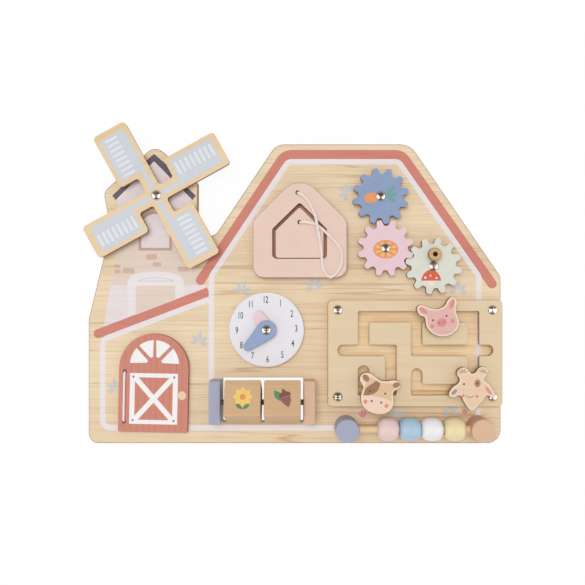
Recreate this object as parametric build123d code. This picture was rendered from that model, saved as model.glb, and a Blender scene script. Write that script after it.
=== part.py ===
"""Wooden busy board: a farm-shaped board that lies on its back, with windmill vanes, gears, a clock, a barn
door, a shape sorter, turning picture blocks, a bead bar and a maze with sliding animal heads.

Millimetres and degrees. +X runs along the board, +Y towards the roof, +Z out of its face.
The origin is the middle of the back face.
"""

from build123d import *
import math
import os

# ---------------------------------------------------------------- driving dimensions
# Back board: a pine board sawn to a farm outline
board_width = 432.8
board_height = 314.0
board_thickness = 12.0
board_edge_round = 1.2
bottom_left_round = 10.0
bottom_right_round = 14.0
lean_to_wall_height = 130.4
lean_to_round = 20.0
mill_waist_from_left = 22.9
mill_waist_from_bottom = 224.5
mill_waist_round = 15.0
cap_left_from_left = 15.6
cap_left_from_bottom = 264.0
cap_left_round = 10.0
cap_peak_from_left = 69.8
cap_peak_from_bottom = 313.5
cap_peak_round = 12.5
cap_right_from_left = 114.5
cap_right_from_bottom = 273.3
cap_right_round = 3.0
valley_left_round = 8.0
valley_from_left = 133.0
valley_from_bottom = 218.0
valley_right_round = 10.0
ridge_left_x = -19.2
ridge_right_x = 121.3
ridge_left_round = 15.0
ridge_right_round = 20.0
barn_wall_height = 175.0
barn_shoulder_round = 15.0

# Fasteners
dome_head_radius = 5.3
dome_head_height = 3.2
recess_width = 1.1
recess_length = 5.0
recess_depth = 1.3
pivot_shank_radius = 2.0
pivot_shank_length = 7.0
barrel_radius = 3.0
barrel_flange_radius = 6.5
barrel_flange_thickness = 1.8
wood_screw_radius = 1.8
wood_screw_head_radius = 3.6
wood_screw_head_depth = 2.2
back_sink = 0.3          # every fastener ends this far inside the back face
running_clearance = 0.05  # radial, shaft in hole
face_clearance = 0.15     # between flat faces that slide on each other

# Windmill vanes: one cross of ply
vane_hub_from_left = 72.9
vane_hub_from_bottom = 259.2
vane_rest_angle = 28.9
vane_count = 4
vane_thickness = 6.0
vane_arm_lower = 6.6
vane_arm_upper = 7.2
vane_start = 30.7
vane_reach = 83.8
vane_sail_edge = 29.6
vane_corner = 4.0
vane_inner_corner = 3.0
vane_washer_radius = 8.0
vane_washer_thickness = 3.0

# Gears: three equal ply gears, the middle one drives the other two
gear_teeth = 12
gear_tip_radius = 29.3
gear_root_radius = 22.7
gear_tooth_tip_width = 5.0
gear_tooth_root_width = 8.2
gear_tip_round = 2.0
gear_root_round = 1.5
gear_thickness = 6.0
gear_washer_radius = 7.0
gear_washer_thickness = 2.0
pink_gear_x = 94.5
pink_gear_from_bottom = 204.4
pink_gear_angle = 14.0
blue_mesh_distance = 54.2
blue_mesh_angle = 95.4
mint_mesh_distance = 53.1
mint_mesh_angle = -20.5
crank_radius = 11.8
crank_angle = 91.7
crank_knob_radius = 6.8
crank_knob_height = 10.0
crank_stem_radius = 5.4
crank_stem_height = 3.5
crank_hole_radius = 2.6
crank_hole_depth = 4.0
crank_knob_round = 1.6
crank_screw_radius = 1.5
crank_screw_head_height = 1.6

# Clock
clock_x = -29.3
clock_from_bottom = 119.5
dial_radius = 39.0
dial_thickness = 5.0
hand_thickness = 3.0
hour_hub_radius = 9.0
hour_tip_radius = 5.7
hour_reach = 16.0
hour_angle = 119.6
minute_hub_radius = 10.0
minute_tip_radius = 4.3
minute_reach = 26.0
minute_angle = 221.4

# Barn door, tied on by an elastic cord through two pairs of holes
door_from_left = 32.0
door_from_bottom = 13.4
door_lean = -1.2
door_width = 72.6
door_side_height = 66.4
door_thickness = 5.0
door_corner_round = 1.5
hinge_cord_radius = 1.1
hinge_hole_radius = 1.6
hinge_hole_inset = 6.0
hinge_hole_low = 11.0
hinge_hole_high = 62.4
hinge_cord_bend = 2.2

# Shape sorter: a house frame and the house that drops into it
frame_left_x = -43.2
frame_from_bottom = 173.5
frame_width = 97.5
frame_wall_height = 60.0
frame_roof_angle = 44.5
frame_corner = 12.0
frame_peak_round = 23.0
frame_thickness = 9.0
opening_width = 56.8
opening_shift = -0.45     # the opening's middle from the frame's middle
sill_height = 19.8
opening_wall_height = 30.8
opening_corner = 4.5
opening_peak_round = 3.0
plug_clearance = 3.4
plug_bottom_gap = 0.6
plug_edge_round = 1.0
frame_edge_round = 1.2

# Pull cord between the frame and the plug
pull_cord_radius = 1.35
pull_hole_radius = 1.85
frame_hole_shift = -2.15  # from the frame's middle
frame_hole_height = 88.3  # above the frame's lower edge
plug_hole_shift = 0.3     # from the opening's middle
plug_hole_height = 37.8   # above the sill
knot_radius = 2.6
knot_recess_radius = 3.4
knot_flat = 2.2
cord_lie = 0.15

# Picture blocks on an axle over a window in the board
window_left_x = -76.0
window_right_x = 9.1
block_axis_from_bottom = 45.5
block_axis_height = 14.5
window_height = 47.0
window_corner = 2.0
block_size = 37.0
block_edge_round = 1.5
block_gap = 3.2
block_rest_angle = -23.0
block_axle_radius = 3.0
block_side_gap = 4.8
holder_width = 12.0
holder_length = 44.5
holder_height = 20.0
holder_edge_round = 1.5
holder_screw_spacing = 30.0
axle_seat_depth = 8.0

# Bead bar
bead_bar_from_bottom = 17.7
bead_bar_height = 14.0
dowel_radius = 4.6
dowel_seat_depth = 8.0
post_radius = 12.0
post_height = 25.5
post_edge_round = 1.5
left_post_x = 53.5
right_post_x = 191.5
bead_radius = 11.9
bead_width = 22.0
bead_crown_radius = 13.4  # of the sphere that rounds a bead's ends
bead_from_left_post = {"pink_bead": 42.4, "blue_bead": 65.1, "white_bead": 87.5, "yellow_bead": 110.9}

# Maze plate
plate_left_x = 34.4
plate_from_bottom = 39.9
plate_width = 181.2
plate_height = 110.6
plate_thickness = 9.0
plate_corner = 5.0
plate_edge_round = 0.8
slot_width = 12.0
slot_corner = 2.0
undercut_width = 20.0
undercut_depth = 4.0
plate_screw_inset = 10.3
maze_screw_length = 16.0
top_row_inset = 17.3      # every inset is from the nearest side of the plate
middle_row_rise = 40.8    # above the bottom row
bottom_row_inset = 17.7
column_a_inset = 37.0
column_b_inset = 65.3
column_c_inset = 89.2
column_d_inset = 30.2
left_stub_inset = 15.7
right_stub_inset = 15.7
lower_left_stub_rise = 19.3
lower_right_stub_rise = 16.2

# Animal heads that slide in the maze
head_thickness = 6.0
head_lift = 0.6          # gap between a head and the domed screws that it passes over
head_edge_round = 0.9
peg_radius = 5.2
glide_radius = 9.0
glide_thickness = 3.0
glide_lift = 0.3
glide_counterbore_radius = 3.4
glide_counterbore_depth = 1.6
peg_screw_head_radius = 3.0
peg_screw_head_height = 1.2
peg_screw_radius = 1.5
peg_screw_bite = 4.0
pig_from_column_c = 21.7
cow_from_column_a = 14.1
goat_from_column_d = 4.6
pig_tilt = 15.0
cow_tilt = -12.0
goat_tilt = -5.0
# Outlines of the heads, from the peg, with the face upright
pig_outline = [
    (-20.5, 11.9), (-18.1, 16.7), (-13.8, 16.8), (-9.1, 13.0), (-4.1, 9.9), (2.0, 8.7), (8.2, 10.4),
    (13.7, 15.6), (18.2, 16.7), (21.3, 12.5), (18.5, 4.0), (17.8, -1.5), (18.4, -8.7), (14.9, -16.1),
    (7.7, -20.2), (-1.3, -20.4), (-9.8, -16.0), (-14.5, -9.5), (-15.4, -2.2), (-15.1, 3.8), (-18.7, 6.6),
]
cow_outline = [
    (-21.1, 8.0), (-20.4, 12.9), (-16.3, 16.0), (-10.3, 15.8), (-5.0, 13.1), (0.2, 11.3), (7.6, 12.2),
    (14.7, 14.4), (19.4, 13.2), (21.2, 10.1), (19.1, 5.6), (15.7, 2.8), (16.2, -2.4), (18.0, -8.3),
    (17.0, -15.5), (12.1, -21.0), (3.8, -23.6), (-5.3, -22.5), (-12.8, -18.1), (-16.2, -10.5),
    (-16.4, -3.0), (-16.6, 2.0), (-19.3, 4.6),
]
goat_outline = [
    (-16.7, 16.4), (-14.3, 21.6), (-10.1, 23.5), (-5.2, 21.2), (-1.6, 18.0), (2.0, 19.1), (5.0, 23.9),
    (9.5, 25.9), (14.4, 23.5), (14.4, 17.9), (11.9, 13.3), (17.0, 8.8), (22.5, 2.5), (24.9, -2.5),
    (22.8, -5.0), (16.0, -3.3), (13.1, -7.7), (8.1, -14.3), (2.4, -20.4), (-3.6, -16.2), (-8.3, -9.5),
    (-11.3, -5.7), (-17.9, -8.5), (-22.7, -6.2), (-21.7, -0.8), (-17.8, 3.9), (-13.7, 7.8), (-13.9, 12.3),
]

# ---------------------------------------------------------------- sizes that follow
board_left_x = -board_width / 2
board_right_x = board_width / 2
board_bottom_y = -board_height / 2
board_top_y = board_height / 2
lean_to_shoulder_y = board_bottom_y + lean_to_wall_height
mill_waist_x = board_left_x + mill_waist_from_left
mill_waist_y = board_bottom_y + mill_waist_from_bottom
cap_left_x = board_left_x + cap_left_from_left
cap_left_y = board_bottom_y + cap_left_from_bottom
cap_peak_x = board_left_x + cap_peak_from_left
cap_peak_y = board_bottom_y + cap_peak_from_bottom
cap_right_x = board_left_x + cap_right_from_left
cap_right_y = board_bottom_y + cap_right_from_bottom
valley_x = board_left_x + valley_from_left
valley_y = board_bottom_y + valley_from_bottom
barn_shoulder_y = board_bottom_y + barn_wall_height
vane_hub_x = board_left_x + vane_hub_from_left
vane_hub_y = board_bottom_y + vane_hub_from_bottom
pink_gear_y = board_bottom_y + pink_gear_from_bottom
clock_y = board_bottom_y + clock_from_bottom
door_corner_x = board_left_x + door_from_left
door_corner_y = board_bottom_y + door_from_bottom
frame_bottom_y = board_bottom_y + frame_from_bottom
opening_left_x = frame_left_x + (frame_width - opening_width) / 2 + opening_shift
opening_bottom_y = frame_bottom_y + sill_height
frame_hole_x = frame_left_x + frame_width / 2 + frame_hole_shift
frame_hole_y = frame_bottom_y + frame_hole_height
plug_hole_x = opening_left_x + opening_width / 2 + plug_hole_shift
plug_hole_y = opening_bottom_y + plug_hole_height
block_axis_y = board_bottom_y + block_axis_from_bottom
left_block_x = window_left_x + block_side_gap + block_size / 2
bead_bar_y = board_bottom_y + bead_bar_from_bottom
bead_rest_x = {name: left_post_x + offset for name, offset in bead_from_left_post.items()}
plate_right_x = plate_left_x + plate_width
plate_bottom_y = board_bottom_y + plate_from_bottom
plate_top_y = plate_bottom_y + plate_height
row_top_y = plate_top_y - top_row_inset
row_bottom_y = plate_bottom_y + bottom_row_inset
row_middle_y = row_bottom_y + middle_row_rise
column_a_x = plate_left_x + column_a_inset
column_b_x = plate_left_x + column_b_inset
column_c_x = plate_right_x - column_c_inset
column_d_x = plate_right_x - column_d_inset
left_stub_x = plate_left_x + left_stub_inset
right_stub_x = plate_right_x - right_stub_inset
lower_left_stub_y = row_bottom_y + lower_left_stub_rise
lower_right_stub_y = row_bottom_y + lower_right_stub_rise
pig_x = column_c_x + pig_from_column_c
cow_x = column_a_x + cow_from_column_a
goat_x = column_d_x - goat_from_column_d
face_z = board_thickness
frame_top_z = face_z + frame_thickness
plate_top_z = face_z + plate_thickness
head_base_z = plate_top_z + dome_head_height + head_lift
block_axis_z = face_z + block_axis_height
bead_bar_z = face_z + bead_bar_height
left_holder_x = window_left_x - holder_width / 2
right_holder_x = window_right_x + holder_width / 2
right_block_x = left_block_x + block_size + block_gap
door_base_z = face_z + face_clearance
door_top_z = door_base_z + door_thickness
dial_top_z = face_z + dial_thickness
hour_base_z = dial_top_z + face_clearance
minute_base_z = hour_base_z + hand_thickness + face_clearance
clock_seat_z = minute_base_z + hand_thickness + face_clearance
gear_base_z = face_z + gear_washer_thickness + face_clearance
gear_top_z = gear_base_z + gear_thickness
gear_seat_z = gear_top_z + face_clearance
vane_base_z = face_z + vane_washer_thickness + face_clearance
vane_seat_z = vane_base_z + vane_thickness + face_clearance
parts = {}


def polar(radius, angle):
    """A point at a distance and an angle from the origin."""
    return radius * math.cos(math.radians(angle)), radius * math.sin(math.radians(angle))


blue_gear_x = pink_gear_x + polar(blue_mesh_distance, blue_mesh_angle)[0]
blue_gear_y = pink_gear_y + polar(blue_mesh_distance, blue_mesh_angle)[1]
mint_gear_x = pink_gear_x + polar(mint_mesh_distance, mint_mesh_angle)[0]
mint_gear_y = pink_gear_y + polar(mint_mesh_distance, mint_mesh_angle)[1]
gear_centres = {
    "pink_gear": (pink_gear_x, pink_gear_y),
    "blue_gear": (blue_gear_x, blue_gear_y),
    "mint_gear": (mint_gear_x, mint_gear_y),
}


# ---------------------------------------------------------------- shop operations
def sheet(corners, base_z, thickness):
    """A flat piece cut from sheet. Corners are (x, y, radius), anticlockwise."""
    outline = FilletPolyline([(x, y) for x, y, r in corners], radius=[r for x, y, r in corners], close=True)
    return Pos(0, 0, base_z) * extrude(make_face(outline), amount=thickness)


def disc(x, y, base_z, radius, height):
    """An upright cylinder that stands on base_z."""
    return Pos(x, y, base_z + height / 2) * Cylinder(radius, height)


def turned(profile):
    """A turned piece from (radius, z) points."""
    points = [(radius, 0, z) for radius, z in profile]
    return revolve(make_face(Polyline(points, close=True)), Axis.Z)


def soften_top(solid, radius):
    """Rounds the rim of the top face."""
    return fillet(solid.faces().sort_by(Axis.Z)[-1].outer_wire().edges(), radius)


def soften_bottom(solid, radius):
    """Rounds the rim of the bottom face."""
    return fillet(solid.faces().sort_by(Axis.Z)[0].outer_wire().edges(), radius)


def house_corners(left_x, bottom_y, width, wall_height, roof_angle, corner, peak_round):
    """The outline of a house with a pitched roof."""
    middle_x = left_x + width / 2
    peak_y = bottom_y + wall_height + width / 2 * math.tan(math.radians(roof_angle))
    eaves_y = bottom_y + wall_height
    return [
        (left_x, bottom_y, corner),
        (left_x + width, bottom_y, corner),
        (left_x + width, eaves_y, corner),
        (middle_x, peak_y, peak_round),
        (left_x, eaves_y, corner),
    ]


def dome_screw(x, y, seat_z, shank_radius, shank_length):
    """A domed screw with a cross recess, its head's flat side on seat_z."""
    crown_radius = (dome_head_radius**2 + dome_head_height**2) / (2 * dome_head_height)
    crown_centre = dome_head_height - crown_radius
    crown = Pos(0, 0, crown_centre) * Sphere(crown_radius)
    head = crown & Pos(0, 0, dome_head_height / 2) * Cylinder(dome_head_radius, dome_head_height)
    screw = head + disc(0, 0, -shank_length, shank_radius, shank_length)
    recess_z = dome_head_height - recess_depth / 2
    for turn in (0, 90):
        screw -= Pos(0, 0, recess_z) * Rot(0, 0, turn) * Box(recess_length, recess_width, recess_depth)
    return Pos(x, y, seat_z) * screw


def barrel_nut(x, y, top_z):
    """A flanged barrel let into the back, on which a piece turns."""
    barrel = disc(0, 0, back_sink, barrel_flange_radius, barrel_flange_thickness)
    barrel += disc(0, 0, back_sink, barrel_radius, top_z - back_sink)
    barrel -= disc(0, 0, top_z - pivot_shank_length, pivot_shank_radius, pivot_shank_length)
    return Pos(x, y, 0) * barrel


def barrel_hole(x, y):
    """The board's hole and counterbore for a barrel nut."""
    flange_seat = back_sink + barrel_flange_thickness
    hole = disc(x, y, -1, barrel_flange_radius, flange_seat + 1)
    return hole + disc(x, y, -1, barrel_radius, face_z + 2)


def washer(x, y, radius, thickness):
    """A spacer between the board and a piece that turns."""
    bore = barrel_radius + running_clearance
    return disc(x, y, face_z, radius, thickness) - disc(x, y, face_z, bore, thickness)


def back_screw(x, y, length):
    """A countersunk wood screw driven from the back."""
    neck_z = back_sink + wood_screw_head_depth
    screw = turned([
        (0, back_sink), (wood_screw_head_radius, back_sink), (wood_screw_radius, neck_z),
        (wood_screw_radius, length), (0, length + wood_screw_radius),
    ])
    return Pos(x, y, 0) * screw


def back_screw_hole(x, y, length):
    """The hole that a back_screw sits in."""
    return back_screw(x, y, length) + disc(x, y, -1, wood_screw_head_radius, 1 + back_sink)


def path_radii(points):
    """Arc radii of a cord's route: 0.45 of the shorter run, over the tangent of half the turn."""
    radii = []
    for before, corner, after in zip(points, points[1:], points[2:]):
        run_in = Vector(*corner) - Vector(*before)
        run_out = Vector(*after) - Vector(*corner)
        half_turn = math.radians(run_in.get_angle(run_out) / 2)
        radii.append(0.45 * min(run_in.length, run_out.length) / math.tan(half_turn))
    return radii


def cord_tube(name, points, radius):
    """A plain cord along straight runs joined by tangent arcs."""
    radii = path_radii(points)
    path = FilletPolyline(points, radius=radii)
    start = Plane(origin=path @ 0, z_dir=path % 0)
    tube = sweep(start * Circle(radius), path=path)
    print(name, "length", round(path.length, 1), "radii", [round(r, 1) for r in radii])
    print(name, "volume / section x length", round(tube.volume / (math.pi * radius**2 * path.length), 4))
    return tube


# ---------------------------------------------------------------- windmill vanes
def make_vanes():
    corners = []
    for k in range(vane_count):
        arm = [
            (vane_arm_upper, -vane_arm_lower, vane_inner_corner),
            (vane_reach, -vane_arm_lower, vane_corner),
            (vane_reach, vane_sail_edge, vane_corner),
            (vane_start, vane_sail_edge, vane_corner),
            (vane_start, vane_arm_upper, vane_inner_corner),
        ]
        turn = math.radians(vane_rest_angle + k * 360 / vane_count)
        for along, across, radius in arm:
            x = along * math.cos(turn) - across * math.sin(turn)
            y = along * math.sin(turn) + across * math.cos(turn)
            corners.append((x, y, radius))
    cross = soften_top(sheet(corners, vane_base_z, vane_thickness), 0.8)
    cross -= disc(0, 0, vane_base_z - 1, barrel_radius + running_clearance, vane_thickness + 2)
    parts["windmill_vanes"] = Pos(vane_hub_x, vane_hub_y, 0) * cross
    parts["vane_washer"] = washer(vane_hub_x, vane_hub_y, vane_washer_radius, vane_washer_thickness)
    parts["vane_nut"] = barrel_nut(vane_hub_x, vane_hub_y, vane_seat_z)
    parts["vane_screw"] = dome_screw(
        vane_hub_x, vane_hub_y, vane_seat_z, pivot_shank_radius, pivot_shank_length
    )


# ---------------------------------------------------------------- gears
def gear_corners(phase):
    """The outline of a gear with one tooth at the angle phase."""
    corners = []
    for k in range(gear_teeth):
        turn = math.radians(phase + k * 360 / gear_teeth)
        tooth = [
            (gear_root_radius, -gear_tooth_root_width / 2, gear_root_round),
            (gear_tip_radius, -gear_tooth_tip_width / 2, gear_tip_round),
            (gear_tip_radius, gear_tooth_tip_width / 2, gear_tip_round),
            (gear_root_radius, gear_tooth_root_width / 2, gear_root_round),
        ]
        for along, across, radius in tooth:
            x = along * math.cos(turn) - across * math.sin(turn)
            y = along * math.sin(turn) + across * math.cos(turn)
            corners.append((x, y, radius))
    return corners


def follower_phase(mesh_angle):
    """The angle of a tooth of a gear that meshes with the pink one in the direction mesh_angle."""
    return 2 * mesh_angle + 180 + 180 / gear_teeth - pink_gear_angle


def make_gear(name, phase):
    x, y = gear_centres[name]
    gear = sheet(gear_corners(phase), gear_base_z, gear_thickness)
    gear -= disc(0, 0, gear_base_z - 1, barrel_radius + running_clearance, gear_thickness + 2)
    return Pos(x, y, 0) * gear


def make_crank():
    """The wooden knob on the mint gear and the screw down its middle."""
    knob_x = mint_gear_x + polar(crank_radius, crank_angle)[0]
    knob_y = mint_gear_y + polar(crank_radius, crank_angle)[1]
    top = gear_top_z + crank_knob_height
    knob = disc(0, 0, gear_top_z, crank_stem_radius, crank_knob_height)
    cap = disc(0, 0, gear_top_z + crank_stem_height, crank_knob_radius, crank_knob_height - crank_stem_height)
    knob += fillet(cap.edges(), crank_knob_round)
    seat_z = top - crank_hole_depth
    screw = disc(0, 0, seat_z, crank_hole_radius - 0.1, crank_screw_head_height)
    screw += disc(0, 0, gear_base_z + 0.5, crank_screw_radius, seat_z - gear_base_z - 0.5)
    knob -= disc(0, 0, seat_z, crank_hole_radius, crank_hole_depth + 1)
    screw = Pos(knob_x, knob_y, 0) * screw
    parts["crank_knob"] = Pos(knob_x, knob_y, 0) * knob - screw
    parts["knob_screw"] = screw
    parts["mint_gear"] -= screw


def make_gears():
    parts["pink_gear"] = make_gear("pink_gear", pink_gear_angle)
    parts["blue_gear"] = make_gear("blue_gear", follower_phase(blue_mesh_angle))
    parts["mint_gear"] = make_gear("mint_gear", follower_phase(mint_mesh_angle))
    make_crank()
    centres = gear_centres.values()
    parts["gear_washers"] = [washer(x, y, gear_washer_radius, gear_washer_thickness) for x, y in centres]
    parts["gear_nuts"] = [barrel_nut(x, y, gear_seat_z) for x, y in centres]
    parts["gear_screws"] = [
        dome_screw(x, y, gear_seat_z, pivot_shank_radius, pivot_shank_length) for x, y in centres
    ]


# ---------------------------------------------------------------- clock
def clock_hand(hub_radius, tip_radius, reach, angle, base_z):
    """A flat hand: a round hub and a round tip joined by their outer tangents."""
    hand = make_hull((Circle(hub_radius) + Pos(reach, 0) * Circle(tip_radius)).edges())
    hand = soften_top(Pos(0, 0, base_z) * extrude(hand, amount=hand_thickness), 0.5)
    hand -= disc(0, 0, base_z - 1, barrel_radius + running_clearance, hand_thickness + 2)
    return Pos(clock_x, clock_y, 0) * Rot(0, 0, angle) * hand


def make_clock():
    dial = soften_top(disc(clock_x, clock_y, face_z, dial_radius, dial_thickness), 0.6)
    parts["clock_dial"] = dial - disc(clock_x, clock_y, face_z, barrel_radius, dial_thickness)
    parts["hour_hand"] = clock_hand(hour_hub_radius, hour_tip_radius, hour_reach, hour_angle, hour_base_z)
    parts["minute_hand"] = clock_hand(
        minute_hub_radius, minute_tip_radius, minute_reach, minute_angle, minute_base_z
    )
    parts["clock_nut"] = barrel_nut(clock_x, clock_y, clock_seat_z)
    parts["clock_screw"] = dome_screw(
        clock_x, clock_y, clock_seat_z, pivot_shank_radius, pivot_shank_length
    )


# ---------------------------------------------------------------- barn door
door_place = Pos(door_corner_x, door_corner_y, 0) * Rot(0, 0, door_lean)
hinge_hole_ys = (hinge_hole_low, hinge_hole_high)


def make_door():
    """The door and the run of elastic cord on its front."""
    walls = Pos(door_width / 2, door_side_height / 2) * Rectangle(door_width, door_side_height)
    arch = Pos(door_width / 2, door_side_height) * Circle(door_width / 2)
    leaf = extrude(fillet((walls + arch).vertices().group_by(Axis.Y)[0], door_corner_round), amount=door_thickness)
    leaf = soften_top(Pos(0, 0, door_base_z) * leaf, 0.6)
    for y in hinge_hole_ys:
        leaf -= disc(hinge_hole_inset, y, door_base_z - 1, hinge_hole_radius, door_thickness + 2)
    parts["barn_door"] = door_place * leaf
    top = door_top_z + hinge_cord_radius + face_clearance
    run = [
        (hinge_hole_inset, hinge_hole_low, door_base_z),
        (hinge_hole_inset, hinge_hole_low, top),
        (hinge_hole_inset, hinge_hole_high, top),
        (hinge_hole_inset, hinge_hole_high, door_base_z),
    ]
    path = FilletPolyline(run, radius=hinge_cord_bend)
    cord = sweep(Plane(origin=path @ 0, z_dir=path % 0) * Circle(hinge_cord_radius), path=path)
    parts["door_hinge_cord"] = door_place * cord


def cord_end(x, y, radius, top_z):
    """A cord's knotted end that stands in the board's back recess, up to top_z."""
    knot_centre = back_sink + knot_radius
    ball = Pos(0, 0, knot_centre) * Sphere(knot_radius)
    return Pos(x, y, 0) * (ball + disc(0, 0, knot_centre, radius, top_z - knot_centre))


def knot_recess_hole(x, y, hole_radius):
    """The board's cord hole and the recess for the knot."""
    recess_depth_z = back_sink + 2 * knot_radius + 0.5
    hole = disc(x, y, -1, knot_recess_radius, recess_depth_z + 1)
    return hole + disc(x, y, -1, hole_radius, face_z + 2)


def make_door_cord_legs():
    legs = [cord_end(hinge_hole_inset, y, hinge_cord_radius, face_z) for y in hinge_hole_ys]
    parts["door_cord_legs"] = [door_place * leg for leg in legs]


# ---------------------------------------------------------------- shape sorter
cord_z = frame_top_z + pull_cord_radius + cord_lie
cord_exit_z = cord_z + 0.6
cord_meet_z = face_z + back_sink + knot_radius + knot_flat
# The strand that crosses over the other one rises by its own diameter and 3 mm
crossing_rise = 2 * pull_cord_radius + 3.0


def make_shape_sorter():
    """The frame on the board and the house that fits in it, both of the same sheet."""
    frame = sheet(
        house_corners(
            frame_left_x, frame_bottom_y, frame_width, frame_wall_height, frame_roof_angle,
            frame_corner, frame_peak_round,
        ),
        face_z, frame_thickness,
    )
    opening = house_corners(
        opening_left_x, opening_bottom_y, opening_width, opening_wall_height, frame_roof_angle,
        opening_corner, opening_peak_round,
    )
    frame = soften_top(frame, frame_edge_round)
    frame -= sheet(opening, face_z - 1, frame_thickness + 2)
    parts["house_frame"] = frame - disc(
        frame_hole_x, frame_hole_y, face_z - 1, pull_hole_radius, frame_thickness + 2
    )
    # The same gap all round but at the sill, where the house has slid down against the frame
    slope_drop = plug_clearance * math.tan(math.radians(frame_roof_angle / 2))
    plug_corners = house_corners(
        opening_left_x + plug_clearance, opening_bottom_y + plug_bottom_gap,
        opening_width - 2 * plug_clearance, opening_wall_height - slope_drop - plug_bottom_gap,
        frame_roof_angle, opening_corner - 1, opening_peak_round,
    )
    plug = soften_top(sheet(plug_corners, face_z + face_clearance, frame_thickness), plug_edge_round)
    plug -= disc(plug_hole_x, plug_hole_y, face_z - 1, pull_hole_radius, frame_thickness + 2)
    recess_height = 1 + back_sink + knot_radius + knot_flat + 0.8
    plug -= disc(plug_hole_x, plug_hole_y, face_z - 1, knot_recess_radius, recess_height)
    parts["house_plug"] = plug


def make_pull_cord():
    """The cord lies on the frame, from the frame's hole round in a loop to the plug's."""
    over = cord_z + crossing_rise
    # Where the cord lies, in X and Y from the frame's hole
    lie = [
        (5.4, -3.2, cord_exit_z),
        (11.8, -10.6, cord_z),
        (16.4, -19.4, cord_z),
        (18.6, -27.2, over),
        (20.2, -38.4, over),
        (22.4, -48.4, cord_z),
        (24.2, -59.6, cord_z),
        (24.8, -71.2, cord_z),
        (26.8, -81.8, cord_z),
        (32.2, -88.6, cord_z),
        (39.0, -85.2, cord_z),
        (44.6, -76.4, cord_z),
        (46.4, -65.4, cord_z),
        (43.0, -56.2, cord_z),
        (36.0, -48.4, cord_z),
        (28.2, -40.4, cord_z),
        (19.2, -33.0, cord_z),
        (8.8, -30.6, cord_exit_z),
    ]
    route = [
        (frame_hole_x, frame_hole_y, cord_meet_z),
        (frame_hole_x, frame_hole_y, cord_exit_z),
        *[(frame_hole_x + x, frame_hole_y + y, z) for x, y, z in lie],
        (plug_hole_x, plug_hole_y, cord_exit_z),
        (plug_hole_x, plug_hole_y, cord_meet_z),
    ]
    parts["pull_cord"] = cord_tube("pull_cord", route, pull_cord_radius)
    parts["cord_anchor"] = cord_end(frame_hole_x, frame_hole_y, pull_cord_radius, cord_meet_z)
    ball = Pos(0, 0, face_z + back_sink + knot_radius) * Sphere(knot_radius)
    below = disc(0, 0, face_z, knot_radius + 1, cord_meet_z - face_z)
    parts["plug_knot"] = Pos(plug_hole_x, plug_hole_y, 0) * (ball & below)


# ---------------------------------------------------------------- picture blocks
def make_blocks():
    axle_start = window_left_x - axle_seat_depth
    axle_end = window_right_x + axle_seat_depth
    axle_length = axle_end - axle_start
    axle_middle = (axle_start + axle_end) / 2
    along_x = Rot(0, 90, 0)
    axle = Pos(axle_middle, block_axis_y, block_axis_z) * along_x * Cylinder(block_axle_radius, axle_length)
    parts["block_axle"] = axle
    bore = along_x * Cylinder(block_axle_radius + running_clearance, block_size + 2)
    for name, x in (("left_block", left_block_x), ("right_block", right_block_x)):
        block = fillet(Box(block_size, block_size, block_size).edges(), block_edge_round) - bore
        parts[name] = Pos(x, block_axis_y, block_axis_z) * Rot(block_rest_angle, 0, 0) * block
    for name, x in (("left_block_holder", left_holder_x), ("right_block_holder", right_holder_x)):
        holder = Pos(x, block_axis_y, face_z + holder_height / 2) * Box(holder_width, holder_length, holder_height)
        upper_edges = holder.edges().filter_by(Axis.Z) + holder.faces().sort_by(Axis.Z)[-1].edges()
        holder = fillet(upper_edges, holder_edge_round) - axle
        for y in holder_screw_ys:
            holder -= back_screw(x, y, holder_screw_length)
        parts[name] = holder
    parts["holder_screws"] = [
        back_screw(x, y, holder_screw_length) for x in (left_holder_x, right_holder_x) for y in holder_screw_ys
    ]


holder_screw_ys = (block_axis_y - holder_screw_spacing / 2, block_axis_y + holder_screw_spacing / 2)
holder_screw_length = face_z + holder_height * 0.55
post_screw_length = face_z + post_height * 0.3


# ---------------------------------------------------------------- bead bar
def make_bead_bar():
    dowel_start = left_post_x + post_radius - dowel_seat_depth
    dowel_end = right_post_x - post_radius + dowel_seat_depth
    along_x = Rot(0, 90, 0)
    place = Pos((dowel_start + dowel_end) / 2, bead_bar_y, bead_bar_z)
    dowel = place * along_x * Cylinder(dowel_radius, dowel_end - dowel_start)
    parts["bead_dowel"] = dowel
    for name, x in (("left_bead_post", left_post_x), ("right_bead_post", right_post_x)):
        post = soften_top(disc(x, bead_bar_y, face_z, post_radius, post_height), post_edge_round)
        parts[name] = post - dowel - back_screw(x, bead_bar_y, post_screw_length)
    parts["post_screws"] = [back_screw(x, bead_bar_y, post_screw_length) for x in (left_post_x, right_post_x)]
    bore = Cylinder(dowel_radius + running_clearance, bead_width + 2)
    for name, x in bead_rest_x.items():
        bead = Sphere(bead_crown_radius) & Cylinder(bead_radius, bead_width)
        parts[name] = Pos(x, bead_bar_y, bead_bar_z) * along_x * (bead - bore)


# ---------------------------------------------------------------- maze
def channel(start, end, width, round_start=False, round_end=False):
    """One straight run of a slot between two corners of the route, or to a rounded end."""
    (x0, y0), (x1, y1) = start, end
    length = math.hypot(x1 - x0, y1 - y0)
    extra_start = 0 if round_start else width / 2
    extra_end = 0 if round_end else width / 2
    run = Pos((length + extra_end - extra_start) / 2, 0) * Rectangle(length + extra_start + extra_end, width)
    if round_start:
        run += Circle(width / 2)
    if round_end:
        run += Pos(length, 0) * Circle(width / 2)
    return Pos(x0, y0) * Rot(0, 0, math.degrees(math.atan2(y1 - y0, x1 - x0))) * run


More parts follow.
